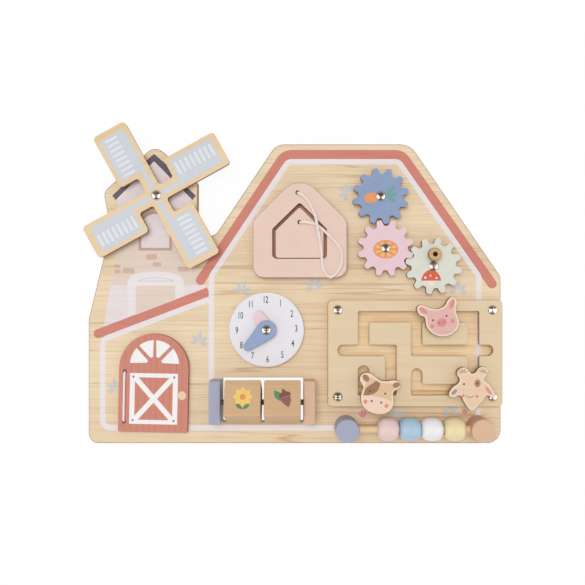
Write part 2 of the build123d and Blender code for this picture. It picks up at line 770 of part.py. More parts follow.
def maze_slots(width):
    """All the channels of the maze as one sketch."""
    a, b, c, d = column_a_x, column_b_x, column_c_x, column_d_x
    top, middle, bottom = row_top_y, row_middle_y, row_bottom_y
    slots = channel((a, top), (d, top), width)
    slots += channel((a, top), (a, middle), width)
    slots += channel((left_stub_x, middle), (b, middle), width, round_start=True)
    slots += channel((b, middle), (b, bottom), width)
    slots += channel((a, bottom), (b, bottom), width)
    slots += channel((a, lower_left_stub_y), (a, bottom), width, round_start=True)
    slots += channel((c, top), (c, middle), width)
    slots += channel((c, middle), (right_stub_x, middle), width, round_end=True)
    slots += channel((d, top), (d, bottom), width)
    slots += channel((c, bottom), (d, bottom), width)
    slots += channel((c, lower_right_stub_y), (c, bottom), width, round_start=True)
    return slots


def slot_vertices_to_round(slots):
    """The corners of the slots that no rounded end touches."""
    stubs = (
        (left_stub_x, row_middle_y), (right_stub_x, row_middle_y),
        (column_a_x, lower_left_stub_y), (column_c_x, lower_right_stub_y),
    )
    near = slot_width / 2 + 0.1
    return [v for v in slots.vertices() if all(math.hypot(v.X - x, v.Y - y) > near for x, y in stubs)]


plate_screw_places = [
    (x, y)
    for x in (plate_left_x + plate_screw_inset, plate_right_x - plate_screw_inset)
    for y in (plate_bottom_y + plate_screw_inset, plate_top_y - plate_screw_inset)
]


def make_maze():
    plate = sheet(
        [
            (plate_left_x, plate_bottom_y, plate_corner), (plate_right_x, plate_bottom_y, plate_corner),
            (plate_right_x, plate_top_y, plate_corner), (plate_left_x, plate_top_y, plate_corner),
        ],
        face_z, plate_thickness,
    )
    plate = soften_top(plate, plate_edge_round)
    slots = maze_slots(slot_width)
    slots = fillet(slot_vertices_to_round(slots), slot_corner)
    plate -= Pos(0, 0, face_z - 1) * extrude(slots, amount=plate_thickness + 2)
    plate -= Pos(0, 0, face_z - 1) * extrude(maze_slots(undercut_width), amount=undercut_depth + 1)
    screws = [dome_screw(x, y, plate_top_z, wood_screw_radius, maze_screw_length) for x, y in plate_screw_places]
    for screw in screws:
        plate -= screw
    pieces = plate.solids().sort_by(SortBy.VOLUME)
    parts["maze_plate"] = pieces[-1]
    parts["maze_island"] = pieces[-2]
    parts["maze_screws"] = screws


# ---------------------------------------------------------------- animal heads
def make_animal(name, outline, x, y, tilt):
    """A flat head on a peg through the slot, held down by a disc that glides in the undercut."""
    glide_base = face_z + glide_lift
    glide_top = glide_base + glide_thickness
    screw_seat = glide_base + glide_counterbore_depth
    screw = disc(0, 0, screw_seat - peg_screw_head_height, peg_screw_head_radius, peg_screw_head_height)
    screw += disc(0, 0, screw_seat, peg_screw_radius, head_base_z + peg_screw_bite - screw_seat)
    head = extrude(make_face(Spline(outline, periodic=True)), amount=head_thickness)
    head = soften_top(Pos(0, 0, head_base_z) * head, head_edge_round)
    peg_base = glide_top + face_clearance
    peg = disc(0, 0, peg_base, peg_radius, head_base_z - peg_base)
    glide = disc(0, 0, glide_base, glide_radius, glide_thickness)
    glide -= disc(0, 0, glide_base - 1, glide_counterbore_radius, glide_counterbore_depth + 1)
    glide -= disc(0, 0, glide_base, peg_screw_radius + running_clearance, glide_thickness)
    place = Pos(x, y, 0) * Rot(0, 0, tilt)
    parts[f"{name}_head"] = place * (head - screw)
    parts[f"{name}_peg"] = place * (peg - screw)
    parts[f"{name}_screw"] = place * screw
    parts[f"{name}_glide"] = place * glide


def make_animals():
    make_animal("pig", pig_outline, pig_x, row_top_y, pig_tilt)
    make_animal("cow", cow_outline, cow_x, row_bottom_y, cow_tilt)
    make_animal("goat", goat_outline, goat_x, row_bottom_y, goat_tilt)


# ---------------------------------------------------------------- back board
def make_board():
    board = sheet(
        [
            (board_left_x, board_bottom_y, bottom_left_round),
            (board_right_x, board_bottom_y, bottom_right_round),
            (board_right_x, barn_shoulder_y, barn_shoulder_round),
            (ridge_right_x, board_top_y, ridge_right_round),
            (ridge_left_x, board_top_y, ridge_left_round),
            (valley_x, valley_y, valley_right_round),
            (cap_right_x, valley_y, valley_left_round),
            (cap_right_x, cap_right_y, cap_right_round),
            (cap_peak_x, cap_peak_y, cap_peak_round),
            (cap_left_x, cap_left_y, cap_left_round),
            (mill_waist_x, mill_waist_y, mill_waist_round),
            (board_left_x, lean_to_shoulder_y, lean_to_round),
        ],
        0, board_thickness,
    )
    board = soften_bottom(soften_top(board, board_edge_round), board_edge_round)
    window_bottom = block_axis_y - window_height / 2
    window_top = block_axis_y + window_height / 2
    board -= sheet(
        [
            (window_left_x, window_bottom, window_corner), (window_right_x, window_bottom, window_corner),
            (window_right_x, window_top, window_corner), (window_left_x, window_top, window_corner),
        ],
        -1, board_thickness + 2,
    )
    pivots = [(vane_hub_x, vane_hub_y), (clock_x, clock_y), *gear_centres.values()]
    for x, y in pivots:
        board -= barrel_hole(x, y)
    for x in (left_holder_x, right_holder_x):
        for y in holder_screw_ys:
            board -= back_screw_hole(x, y, holder_screw_length)
    for x in (left_post_x, right_post_x):
        board -= back_screw_hole(x, bead_bar_y, post_screw_length)
    for x, y in plate_screw_places:
        board -= disc(x, y, plate_top_z - maze_screw_length, wood_screw_radius, maze_screw_length)
    for y in hinge_hole_ys:
        board -= door_place * knot_recess_hole(hinge_hole_inset, y, hinge_hole_radius)
    parts["back_board"] = board - knot_recess_hole(frame_hole_x, frame_hole_y, pull_hole_radius)


make_board()
make_vanes()
make_gears()
make_clock()
make_door()
make_door_cord_legs()
make_shape_sorter()
make_pull_cord()
make_blocks()
make_bead_bar()
make_maze()
make_animals()

os.makedirs("parts", exist_ok=True)
for node, shape in parts.items():
    solid = Compound(children=shape) if isinstance(shape, list) else shape
    export_step(solid, f"parts/{node}.step")
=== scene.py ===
import math

import bmesh
import bpy
from mathutils import Matrix, Vector
from mathutils.geometry import tessellate_polygon


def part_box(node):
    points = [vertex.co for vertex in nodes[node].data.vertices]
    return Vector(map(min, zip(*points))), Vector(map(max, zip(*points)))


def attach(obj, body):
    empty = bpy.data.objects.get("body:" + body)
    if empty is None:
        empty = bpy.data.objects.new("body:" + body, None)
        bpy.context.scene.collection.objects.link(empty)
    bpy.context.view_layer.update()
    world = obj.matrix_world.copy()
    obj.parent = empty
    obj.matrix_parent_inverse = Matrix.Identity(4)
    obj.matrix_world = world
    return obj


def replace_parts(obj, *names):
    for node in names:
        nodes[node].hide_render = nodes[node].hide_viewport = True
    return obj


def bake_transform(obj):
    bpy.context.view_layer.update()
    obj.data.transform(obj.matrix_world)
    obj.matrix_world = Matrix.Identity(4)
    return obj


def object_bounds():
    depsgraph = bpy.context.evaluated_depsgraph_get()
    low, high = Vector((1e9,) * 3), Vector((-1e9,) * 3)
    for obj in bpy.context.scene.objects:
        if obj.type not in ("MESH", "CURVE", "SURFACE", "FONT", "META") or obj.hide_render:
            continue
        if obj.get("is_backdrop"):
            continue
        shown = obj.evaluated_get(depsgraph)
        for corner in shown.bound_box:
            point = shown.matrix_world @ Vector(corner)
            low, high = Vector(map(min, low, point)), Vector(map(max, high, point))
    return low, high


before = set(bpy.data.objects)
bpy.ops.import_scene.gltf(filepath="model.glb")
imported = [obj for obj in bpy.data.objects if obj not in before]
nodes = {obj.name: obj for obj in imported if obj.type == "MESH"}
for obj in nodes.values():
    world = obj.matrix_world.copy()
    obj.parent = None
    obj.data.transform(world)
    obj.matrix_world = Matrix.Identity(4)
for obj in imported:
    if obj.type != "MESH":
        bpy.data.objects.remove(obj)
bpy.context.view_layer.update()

scene = bpy.context.scene

# ---- where it is looked at from
# The board lies on its back and is looked at straight down, from 700 mm above its face and almost over its
# middle. The view is as wide as 614 mm of the board's face.
face_z = 12.0
eye_height = 700.0
eye_x = -2.26
eye_y = 1.31
view_width = 614.25
sensor_width = 36.0
camera = bpy.data.objects.new("camera", bpy.data.cameras.new("camera"))
scene.collection.objects.link(camera)
camera.location = (eye_x / 1000, eye_y / 1000, (face_z + eye_height) / 1000)
camera.data.sensor_width = sensor_width
camera.data.lens = sensor_width * eye_height / view_width
scene.camera = camera

# ---- pull cord
# A natural cotton cord of 2.7 mm, three yarns laid together. It is knotted behind the frame of the shape
# sorter, comes up through the frame's hole, lies on it in one loop that crosses itself, and goes down
# through the house to a knot behind it.
frame_hole = (3.4, 104.8)
plug_hole = (5.4, 74.1)
cord_foot_z = 17.1
cord_exit_z = 23.1
cord_lie_z = 22.5
cord_over_z = 26.4
yarn_count, yarn_sides = 3, 8
yarn_radius, lay_radius, lay_length = 0.00086, 0.00076, 0.0080
cord_loop = [
    (27.6, 45.2), (28.2, 33.6), (30.2, 23.0), (35.6, 16.2), (42.4, 19.6), (48.0, 28.4), (49.8, 39.4),
    (46.4, 48.6), (39.4, 56.4), (31.6, 64.4), (22.6, 71.8),
]
cord_route = [
    (*frame_hole, cord_foot_z), (*frame_hole, cord_exit_z), (8.8, 101.6, cord_exit_z),
    (15.2, 94.2, cord_lie_z), (19.8, 85.4, 23.6), (22.0, 77.6, cord_over_z), (23.6, 66.4, cord_over_z),
    (25.8, 56.4, 23.4), *[(x, y, cord_lie_z) for x, y in cord_loop], (12.2, 74.2, cord_exit_z),
    (*plug_hole, cord_exit_z), (*plug_hole, cord_foot_z),
]


def rgb(red, green, blue):
    """A colour named as a screen shows it, from 0 to 255, in the linear values that shaders take."""
    shares = [value / 255 for value in (red, green, blue)]
    return (*[s / 12.92 if s < 0.04 else ((s + 0.055) / 1.055) ** 2.4 for s in shares], 1.0)


def step(tree, kind, inputs=None, **settings):
    """One shader node, with its inputs joined or set."""
    made = tree.nodes.new(kind)
    for key, value in settings.items():
        setattr(made, key, value)
    for key, value in (inputs or {}).items():
        if isinstance(value, bpy.types.NodeSocket):
            tree.links.new(value, made.inputs[key])
        else:
            made.inputs[key].default_value = value
    return made


def sums(tree, operation, a, b=0.0, clamp=False):
    """One step of arithmetic on shader values."""
    return step(tree, "ShaderNodeMath", {0: a, 1: b}, operation=operation, use_clamp=clamp).outputs[0]


def times(tree, a, b):
    """The product of two shader values."""
    return sums(tree, "MULTIPLY", a, b)


def noise(tree, place, scale, detail):
    """A cloudy pattern of values from 0 to 1."""
    inputs = {"Vector": place, "Scale": scale, "Detail": detail}
    return step(tree, "ShaderNodeTexNoise", inputs).outputs["Fac"]


def mixed(tree, share, first, second):
    """Two colours mixed by a share."""
    return step(tree, "ShaderNodeMixRGB", {"Fac": share, "Color1": first, "Color2": second}).outputs["Color"]


def new_finish(name, roughness):
    """An empty finish: the material, its tree, its shader and the place on the piece."""
    finish = bpy.data.materials.new(name)
    finish.use_nodes = True
    tree = finish.node_tree
    shader = tree.nodes["Principled BSDF"]
    shader.inputs["Roughness"].default_value = roughness
    return finish, tree, shader, step(tree, "ShaderNodeTexCoord").outputs["Object"]


def dress(tree, shader, colour, height, strength, distance):
    """Gives a finish its colour, and makes it look raised where a pattern is high."""
    tree.links.new(colour, shader.inputs["Base Color"])
    bump = step(tree, "ShaderNodeBump", {"Height": height, "Strength": strength, "Distance": distance})
    tree.links.new(bump.outputs["Normal"], shader.inputs["Normal"])


def give(finish, *names):
    """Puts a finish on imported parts."""
    for name in names:
        mesh = nodes[name].data
        mesh.materials.clear()
        mesh.materials.append(finish)


def cotton_finish():
    """Undyed cotton: cream yarn with paler fuzz and a fine fibre."""
    finish, tree, shader, place = new_finish("cotton_cord", 0.92)
    fluff = noise(tree, place, 900.0, 4.0)
    tone = mixed(tree, fluff, rgb(228, 212, 202), rgb(250, 241, 234))
    tone = mixed(tree, times(tree, noise(tree, place, 120.0, 2.0), 0.35), tone, rgb(238, 222, 212))
    shader.inputs["Sheen Weight"].default_value = 0.25
    dress(tree, shader, tone, fluff, 0.35, 0.0002)
    return finish


def add_piece(name, mesh, finish, body):
    """Shows a mesh as a piece that rides on a body."""
    mesh.materials.append(finish)
    piece = bpy.data.objects.new(name, mesh)
    scene.collection.objects.link(piece)
    if body:
        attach(piece, body)
    return piece


def mesh_of(curve):
    """The mesh that a curve makes."""
    maker = bpy.data.objects.new(curve.name, curve)
    scene.collection.objects.link(maker)
    bpy.context.view_layer.update()
    mesh = bpy.data.meshes.new_from_object(maker.evaluated_get(bpy.context.evaluated_depsgraph_get()))
    bpy.data.objects.remove(maker)
    return mesh


def smooth_line(name, points, resolution):
    """The points of a smooth line through a route in mm, in metres and evenly spaced."""
    curve = bpy.data.curves.new(name, "CURVE")
    curve.dimensions = "3D"
    curve.resolution_u = resolution
    spline = curve.splines.new("NURBS")
    spline.points.add(len(points) - 1)
    for point, (x, y, z) in zip(spline.points, points):
        point.co = (x / 1000, y / 1000, z / 1000, 1.0)
    spline.order_u = 3
    spline.use_endpoint_u = True
    mesh = mesh_of(curve)
    found = [vertex.co.copy() for vertex in mesh.vertices]
    bpy.data.meshes.remove(mesh)
    return found


def solid_mesh(name, corners, faces):
    """A mesh from corners and faces, with every face turned outwards."""
    mesh = bpy.data.meshes.new(name)
    mesh.from_pydata(corners, [], faces)
    work = bmesh.new()
    work.from_mesh(mesh)
    bmesh.ops.recalc_face_normals(work, faces=work.faces)
    work.to_mesh(mesh)
    work.free()
    return mesh


def tube_faces(starts, sides):
    """The faces between rings of corners, told by where each ring starts in the list."""
    turns = [(k, (k + 1) % sides) for k in range(sides)]
    return [(a + k, a + n, b + n, b + k) for a, b in zip(starts, starts[1:]) for k, n in turns]


def laid_yarns(name, line):
    """A mesh of yarns that wind round a line, each a closed tube."""
    tangents = []
    for k in range(len(line)):
        tangents.append((line[min(k + 1, len(line) - 1)] - line[max(k - 1, 0)]).normalized())
    across = tangents[0].orthogonal().normalized()
    frames = []
    travelled = 0.0
    for k, point in enumerate(line):
        across = (across - tangents[k] * across.dot(tangents[k])).normalized()
        if k:
            travelled += (point - line[k - 1]).length
        frames.append((point, across.copy(), tangents[k].cross(across), travelled))
    corners, faces = [], []
    for yarn in range(yarn_count):
        starts = []
        for point, out, side, reached in frames:
            turn = 2 * math.pi * (reached / lay_length + yarn / yarn_count)
            centre = point + (out * math.cos(turn) + side * math.sin(turn)) * lay_radius
            starts.append(len(corners))
            for k in range(yarn_sides):
                corner = 2 * math.pi * k / yarn_sides
                corners.append(centre + (out * math.cos(corner) + side * math.sin(corner)) * yarn_radius)
        faces += tube_faces(starts, yarn_sides)
        faces.append([starts[0] + k for k in range(yarn_sides)][::-1])
        faces.append([starts[-1] + k for k in range(yarn_sides)])
    mesh = solid_mesh(name, corners, faces)
    mesh.shade_smooth()
    return mesh


cotton = cotton_finish()
cord_line = smooth_line("pull_cord_line", cord_route, 24)
pull_cord = add_piece("cotton_pull_cord", laid_yarns("pull_cord_yarns", cord_line), cotton, None)
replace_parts(pull_cord, "pull_cord")
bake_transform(pull_cord)
give(cotton, "cord_anchor", "plug_knot")

# ---- light and floor
# A pale floor under the board, soft light all round and a broad lamp almost overhead, a little to the upper
# left. Polished metal shows a bright window and a darker, warmer room round it.
sun = bpy.data.objects.new("upper_left_light", bpy.data.lights.new("upper_left_light", "SUN"))
sun.data.energy = 1.55
sun.data.angle = math.radians(36)
sun.rotation_euler = Vector((-0.16, 0.20, 1.0)).to_track_quat("Z", "Y").to_euler()
sun.visible_glossy = False
scene.collection.objects.link(sun)

world = bpy.data.worlds.new("studio")
world.use_nodes = True
scene.world = world
air = world.node_tree
background = air.nodes["Background"]
generated = step(air, "ShaderNodeTexCoord").outputs["Generated"]
direction = step(air, "ShaderNodeSeparateXYZ", {0: generated}).outputs
rays = step(air, "ShaderNodeLightPath").outputs


def ramp(tree, value, start, end, low=0.0, high=1.0):
    """A value that runs from low to high while another runs from start to end."""
    inputs = {"Value": value, "From Min": start, "From Max": end, "To Min": low, "To Max": high}
    return step(tree, "ShaderNodeMapRange", inputs).outputs["Result"]


def between(tree, share, first, second):
    """A value that goes from a first to a second one with a share."""
    return sums(tree, "ADD", first, times(tree, share, sums(tree, "SUBTRACT", second, first)))


front = ramp(air, direction["Y"], -0.25, -0.85)
low_front = times(air, front, ramp(air, direction["Z"], 0.65, 0.25, 0.0, 0.45))
height = sums(air, "ADD", ramp(air, direction["Z"], -0.05, 0.75, 0.30, 0.585), low_front)
aside = sums(air, "ABSOLUTE", direction["X"])
from_middle = sums(air, "ABSOLUTE", sums(air, "ADD", direction["Y"], 0.18))
window = times(air, ramp(air, aside, 0.18, 0.28), ramp(air, from_middle, 0.64, 0.46))
room = ramp(air, direction["Z"], 0.70, 0.10, 0.12, 0.42)
mirrored = sums(air, "ADD", room, times(air, window, 1.5))
level = between(air, rays["Is Glossy Ray"], height, mirrored)
air.links.new(between(air, rays["Is Camera Ray"], level, 1.0), background.inputs["Strength"])
warmth = sums(air, "MULTIPLY", rays["Is Glossy Ray"], sums(air, "SUBTRACT", 1.0, window), clamp=True)
air.links.new(mixed(air, warmth, (1.0, 1.0, 1.0, 1.0), rgb(226, 206, 186)), background.inputs["Color"])

floor_gap, reach = 0.0004, 4.0
floor_mesh = bpy.data.meshes.new("floor")
floor_corners = [(-reach, -reach, 0.0), (reach, -reach, 0.0), (reach, reach, 0.0), (-reach, reach, 0.0)]
floor_mesh.from_pydata(floor_corners, [], [(0, 1, 2, 3)])
floor = bpy.data.objects.new("floor", floor_mesh)
floor.location.z = -floor_gap
scene.collection.objects.link(floor)
floor_finish, tree, shader = new_finish("pale_floor", 0.9)[:3]
shader.inputs["Base Color"].default_value = rgb(246, 246, 246)
glow = step(tree, "ShaderNodeEmission", {"Color": (1.0, 1.0, 1.0, 1.0), "Strength": 1.0}).outputs[0]
rays = step(tree, "ShaderNodeLightPath").outputs
glowing = times(tree, sums(tree, "MAXIMUM", rays["Is Camera Ray"], rays["Is Glossy Ray"]), 0.93)
lit_floor = step(tree, "ShaderNodeMixShader", {0: glowing, 1: shader.outputs[0], 2: glow})
tree.links.new(lit_floor.outputs[0], tree.nodes["Material Output"].inputs["Surface"])
floor_mesh.materials.append(floor_finish)
floor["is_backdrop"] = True

# ---- back board
# Pine, 12 mm, glued up from lamellas and sawn to the outline of a barn with a windmill beside it. The edges
# are rounded over and a little darker than the face, and the whole is under a thin satin lacquer.


def toned(colour, share):
    """A colour with a share of its light, at most full."""
    return (*[min(1.0, c * share) for c in colour[:3]], 1.0)


def drawn_out(tree, place, share):
    """Places with their steps along X made short, which draws a pattern out that way."""
    return step(tree, "ShaderNodeMapping", {"Vector": place, "Scale": (share, 1.0, 1.0)}).outputs[0]


def levelness(tree):
    """How level a face lies, from 0 where it is upright to 1 where it is flat."""
    normal = step(tree, "ShaderNodeTexCoord").outputs["Normal"]
    return sums(tree, "ABSOLUTE", step(tree, "ShaderNodeSeparateXYZ", {0: normal}).outputs["Z"])


def wood_finish(name, pale, dark, edge, ring_spacing, rings, fibres, broad, turn=0.0, ink=None, cover=0.0,
                ink_dark=None, plies=0.0, edge_tone=1.0, lines=0.0, arris=None):
    """Wood with its grain along X, turned by some degrees, with an ink over its face if one is given."""
    finish, tree, shader, place = new_finish(name, 0.5)
    rotation = (0.0, 0.0, -math.radians(turn))
    turned = step(tree, "ShaderNodeMapping", {"Vector": place, "Rotation": rotation}).outputs[0]
    long_way = drawn_out(tree, turned, 0.10)
    hair_way = drawn_out(tree, turned, 0.03)
    inputs = {"Vector": long_way, "Scale": 0.314 / ring_spacing, "Distortion": 6.0, "Detail": 2.0}
    year = step(
        tree, "ShaderNodeTexWave", {**inputs, "Detail Scale": 0.42}, wave_type="BANDS", bands_direction="Y",
        wave_profile="SAW",
    ).outputs["Fac"]
    late = sums(tree, "POWER", year, 7.0)
    cloud = noise(tree, long_way, 26.0, 3.0)
    hair = noise(tree, hair_way, 1100.0, 3.0)
    streak = noise(tree, hair_way, 260.0, 4.0)
    ring_tone = times(tree, times(tree, late, ramp(tree, cloud, 0.46, 0.66)), rings)
    cloud_tone = times(tree, sums(tree, "SUBTRACT", cloud, 0.35), broad)
    streak_tone = times(tree, sums(tree, "SUBTRACT", streak, 0.42), fibres * 0.8)
    hair_tone = times(tree, sums(tree, "SUBTRACT", hair, 0.42), fibres * 1.3)
    broad_tone = sums(tree, "ADD", ring_tone, cloud_tone)
    tone = sums(tree, "ADD", broad_tone, sums(tree, "ADD", streak_tone, hair_tone), clamp=True)
    if lines:
        drift = noise(tree, drawn_out(tree, turned, 0.02), 75.0, 1.0)
        from_line = sums(tree, "ABSOLUTE", sums(tree, "SUBTRACT", drift, 0.5))
        tone = sums(tree, "ADD", tone, ramp(tree, from_line, 0.010, 0.002, 0.0, lines), clamp=True)
    face = mixed(tree, tone, pale, dark)
    if ink:
        thin = sums(tree, "SUBTRACT", cover, times(tree, hair, 0.12), clamp=True)
        face = mixed(tree, thin, face, mixed(tree, tone, ink, ink_dark or toned(ink, 0.86)))
    level = levelness(tree)
    rim = mixed(tree, hair, edge, toned(edge, 0.80))
    if plies:
        depth = step(tree, "ShaderNodeSeparateXYZ", {0: place}).outputs["Z"]
        veneer = sums(tree, "GREATER_THAN", sums(tree, "PINGPONG", depth, plies / 2), plies / 4)
        rim = mixed(tree, times(tree, veneer, 0.45), rim, toned(edge, 0.55))
    colour = mixed(tree, times(tree, ramp(tree, level, 0.96, 0.50), edge_tone), face, rim)
    if arris:
        # A darker band where the rounded-over edge slopes between flat and upright.
        arris_slope = times(tree, ramp(tree, level, 0.985, 0.90), ramp(tree, level, 0.20, 0.45))
        colour = mixed(tree, times(tree, arris_slope, 0.8), colour, arris)
    height = sums(tree, "ADD", times(tree, hair, 0.6), times(tree, late, 0.4))
    dress(tree, shader, colour, height, 0.25, 0.00012)
    return finish


pine = {
    "pale": rgb(236, 216, 184), "dark": rgb(190, 152, 110), "edge": rgb(196, 156, 112),
    "ring_spacing": 0.0125, "rings": 0.26, "fibres": 0.50, "broad": 0.75, "lines": 0.42,
}
give(wood_finish("pine_board", **pine, arris=rgb(128, 88, 56)), "back_board")

# ---- prints on the board
# The farm is printed straight on the wood in thin inks, so that the grain shows through: the barn's and the
# lean-to's roof lines, a white line inside them, the windmill, and small plants.
ink_base = 0.02
ink_top = 0.05
over_ink = {"base": -0.01, "top": 0.07}
third_ink = {"base": -0.03, "top": 0.09}


def skin(name, groups, finish, z=face_z, body="board", slot=None, base=ink_base, top=ink_top):
    """A thin closed layer on a face at height z in mm. A group is an outline and its holes, in (x, y)."""
    corners, faces = [], []
    for loops in groups:
        first = len(corners)
        points = [point for loop in loops for point in loop]
        count = len(points)
        for level in (z - base, z + top):
            corners += [(x / 1000, y / 1000, level / 1000) for x, y in points]
        for a, b, c in tessellate_polygon([[Vector((x, y, 0.0)) for x, y in loop] for loop in loops]):
            faces.append((first + a, first + b, first + c))
            faces.append((first + count + a, first + count + c, first + count + b))
        for loop in loops:
            for k in range(len(loop)):
                one, two = first + k, first + (k + 1) % len(loop)
                faces.append((one, two, two + count, one + count))
            first += len(loop)
    return add_piece(name, solid_mesh(name, corners, faces), finish, body)


def arc(x, y, radius, start, end, steps=16):
    """Points along an arc, in degrees from start to end."""
    angles = [math.radians(start + (end - start) * k / steps) for k in range(steps + 1)]
    return [(x + radius * math.cos(a), y + radius * math.sin(a)) for a in angles]


def moved(points, x, y, turn=0.0, size=1.0):
    """Points of a motif, turned, scaled and put in place."""
    c, s = math.cos(math.radians(turn)) * size, math.sin(math.radians(turn)) * size
    return [(x + u * c - v * s, y + u * s + v * c) for u, v in points]


def oval(x, y, wide, high, turn=0.0, steps=28):
    """An ellipse by its half width and half height, turned by some degrees."""
    angles = [2 * math.pi * k / steps for k in range(steps)]
    return moved([(wide * math.cos(a), high * math.sin(a)) for a in angles], x, y, turn)


def rounded(corners, steps=8):
    """A closed outline of (x, y, radius) corners with its corners rounded."""
    found = []
    for k, (x, y, radius) in enumerate(corners):
        here = Vector((x, y))
        back = (Vector(corners[k - 1][:2]) - here).normalized()
        ahead = (Vector(corners[(k + 1) % len(corners)][:2]) - here).normalized()
        half = back.angle(ahead) / 2
        if radius <= 0 or half > 1.55:
            found.append((x, y))
            continue
        centre = here + (back + ahead).normalized() * radius / math.sin(half)
        run = radius / math.tan(half)
        first = here + back * run - centre
        sweep = first.angle_signed(here + ahead * run - centre)
        for s in range(steps + 1):
            spoke = first.copy()
            spoke.rotate(Matrix.Rotation(-sweep * s / steps, 2))
            found.append(tuple(centre + spoke))
    return found


def bent(points, radius):
    """An open line with its inner corners rounded."""
    radii = [0.0] + [radius] * (len(points) - 2) + [0.0]
    return rounded([(*point, size) for point, size in zip(points, radii)])


def band(points, width, round_start=False, round_end=False):
    """The outline of a stripe of some width along an open line."""
    line = [Vector(point) for point in points]
    left, right = [], []
    for k, point in enumerate(line):
        back = (point - line[k - 1]).normalized() if k else (line[1] - point).normalized()
        ahead = (line[k + 1] - point).normalized() if k + 1 < len(line) else back
        along = (back + ahead).normalized()
        across = Vector((-along.y, along.x)) * width / 2 / max(0.5, along.dot(back))
        left.append(tuple(point + across))
        right.append(tuple(point - across))
    outline = []
    ends = (right, line[-1], line[-2], round_end), (left[::-1], line[0], line[1], round_start)
    for side, end, inside, is_round in ends:
        outline += side
        if is_round:
            heading = math.degrees(math.atan2(*(end - inside).yx))
            outline += arc(*end, width / 2, heading - 90, heading + 90, 10)[1:-1]
    return outline


def print_finish(name, ink, cover):
    """An ink on the pine board."""
    return wood_finish(name, **{**pine, "edge": ink}, ink=ink, cover=cover)


terracotta = print_finish("terracotta_ink", rgb(205, 121, 108), 0.98)
lilac_white = print_finish("lilac_white_ink", rgb(234, 227, 230), 0.96)
tower_ink = print_finish("tower_ink", rgb(224, 207, 195), 0.93)
brick_ink = print_finish("brick_ink", rgb(206, 174, 156), 0.93)
wall_ink = print_finish("wall_ink", rgb(230, 220, 224), 0.93)
slate_ink = print_finish("slate_ink", rgb(76, 68, 88), 0.98)
frame_ink = print_finish("window_frame_ink", rgb(190, 152, 140), 0.95)
plant_ink = print_finish("plant_ink", rgb(190, 199, 208), 0.88)
blossom_ink = print_finish("blossom_ink", rgb(216, 130, 150), 0.92)

roof_width, lean_width, line_width = 9.9, 9.4, 5.7
roof_line = bent([(-98.8, 14.2), (-10.2, 146.0), (112.4, 146.0), (207.2, 10.5)], 13.0)
barn_corners = [(-87.4, -89.0), (-87.4, 18.3), (-6.8, 138.6), (109.1, 138.6), (193.3, 18.3), (192.6, -138.7)]
lean_roof = [(-206.4, -41.9), (-90.3, 2.2)]
lean_line = bent([(-90.3, -5.8), (-201.5, -48.2), (-201.5, -140.8), (44.0, -140.8)], 8.0)
skin("barn_roof_print", [[band(roof_line, roof_width, True, True)]], terracotta, **over_ink)
skin("barn_line_print", [[band(bent(barn_corners, 7.0), line_width)]], lilac_white, **third_ink)
skin("lean_to_roof_print", [[band(lean_roof, lean_width, True)]], terracotta, **over_ink)
skin("lean_to_line_print", [[band(lean_line, line_width)]], lilac_white)

# ---- printed windmill
# The mill is printed too: a beige tower with a few bricks, an arched window, a big arched gate and a slate
# roof on a pale cap. The vanes are a piece of their own in front of it.
mill_x = -145.6
tower = [(-178.3, 101.6), (-191.9, 9.5), (-99.9, 9.5), (-113.5, 101.6)]
wall_top_y = 9.2
gate_left, gate_right = -175.4, -116.3
lean_top_x, lean_top_y, lean_slope = -90.3, 7.05, 0.381


def lean_y(x):
    """The upper side of the lean-to's roof line, where the mill ends."""
    return lean_top_y + (x - lean_top_x) * lean_slope


def wall(low_left, low_right, top_left, top_y):
    """A part of the mill that stands on the lean-to's roof line."""
    foot = [(low_left, lean_y(low_left)), (low_right, lean_y(low_right))]
    return [foot + [(low_right, top_y), (top_left, top_y)]]


gate_arch = [
    (gate_left, lean_y(gate_left)), (gate_right, lean_y(gate_right)), (gate_right, 13.5), (-120.3, 19.0),
    (-130.3, 22.4), (-145.8, 23.6), (-161.4, 22.4), (-171.4, 19.0), (gate_left, 13.5),
]
window_x, window_half, window_low, window_spring = -146.35, 17.55, 45.4, 69.0


def arched(inset):
    """The outline of the mill's window, some mm inside its frame."""
    half = window_half - inset
    foot = window_low + inset
    return [(window_x - half, foot), (window_x + half, foot), *arc(window_x, window_spring, half, 0, 180, 20)]


def oblong(left, low, right, high):
    """The corners of a rectangle."""
    return [(left, low), (right, low), (right, high), (left, high)]


def soft_oblong(left, low, right, high, radius):
    """A rectangle with rounded corners."""
    return rounded([(*corner, radius) for corner in oblong(left, low, right, high)], 3)


skin("mill_tower_print", [[tower]], tower_ink)
skin("mill_window_frame_print", [[arched(0.0)]], frame_ink, **over_ink)
skin("mill_window_print", [[arched(2.8)]], wall_ink, **third_ink)
side_walls = [wall(-200.6, gate_left, -193.2, wall_top_y), wall(gate_right, -94.0, gate_right, wall_top_y)]
skin("mill_side_walls_print", side_walls, wall_ink)
skin("mill_gate_frame_print", [[gate_arch]], lilac_white, **over_ink)
skin("mill_gate_print", [wall(-166.9, -125.3, -166.9, 8.4)], tower_ink, **third_ink)
bricks = [
    (-156.0, 35.9, -144.6, 41.5), (-148.9, 28.7, -140.1, 32.9), (-189.4, 27.2, -183.4, 30.8),
    (-189.4, 21.3, -182.6, 25.5), (-180.6, 21.6, -168.0, 27.0), (-122.6, 23.2, -111.2, 28.2),
]
brick_groups = [[soft_oblong(*brick, 1.2)] for brick in bricks]
skin("mill_bricks_print", brick_groups, brick_ink, **over_ink)
studs = []
for k in range(-6, 7):
    for rise in (0.0, 3.4 - 0.06 * k * k):
        studs.append([oval(mill_x + 2.9 * k, 13.2 + rise, 1.05, 0.7, steps=10)])
skin("mill_gate_studs_print", studs, plant_ink, **third_ink)

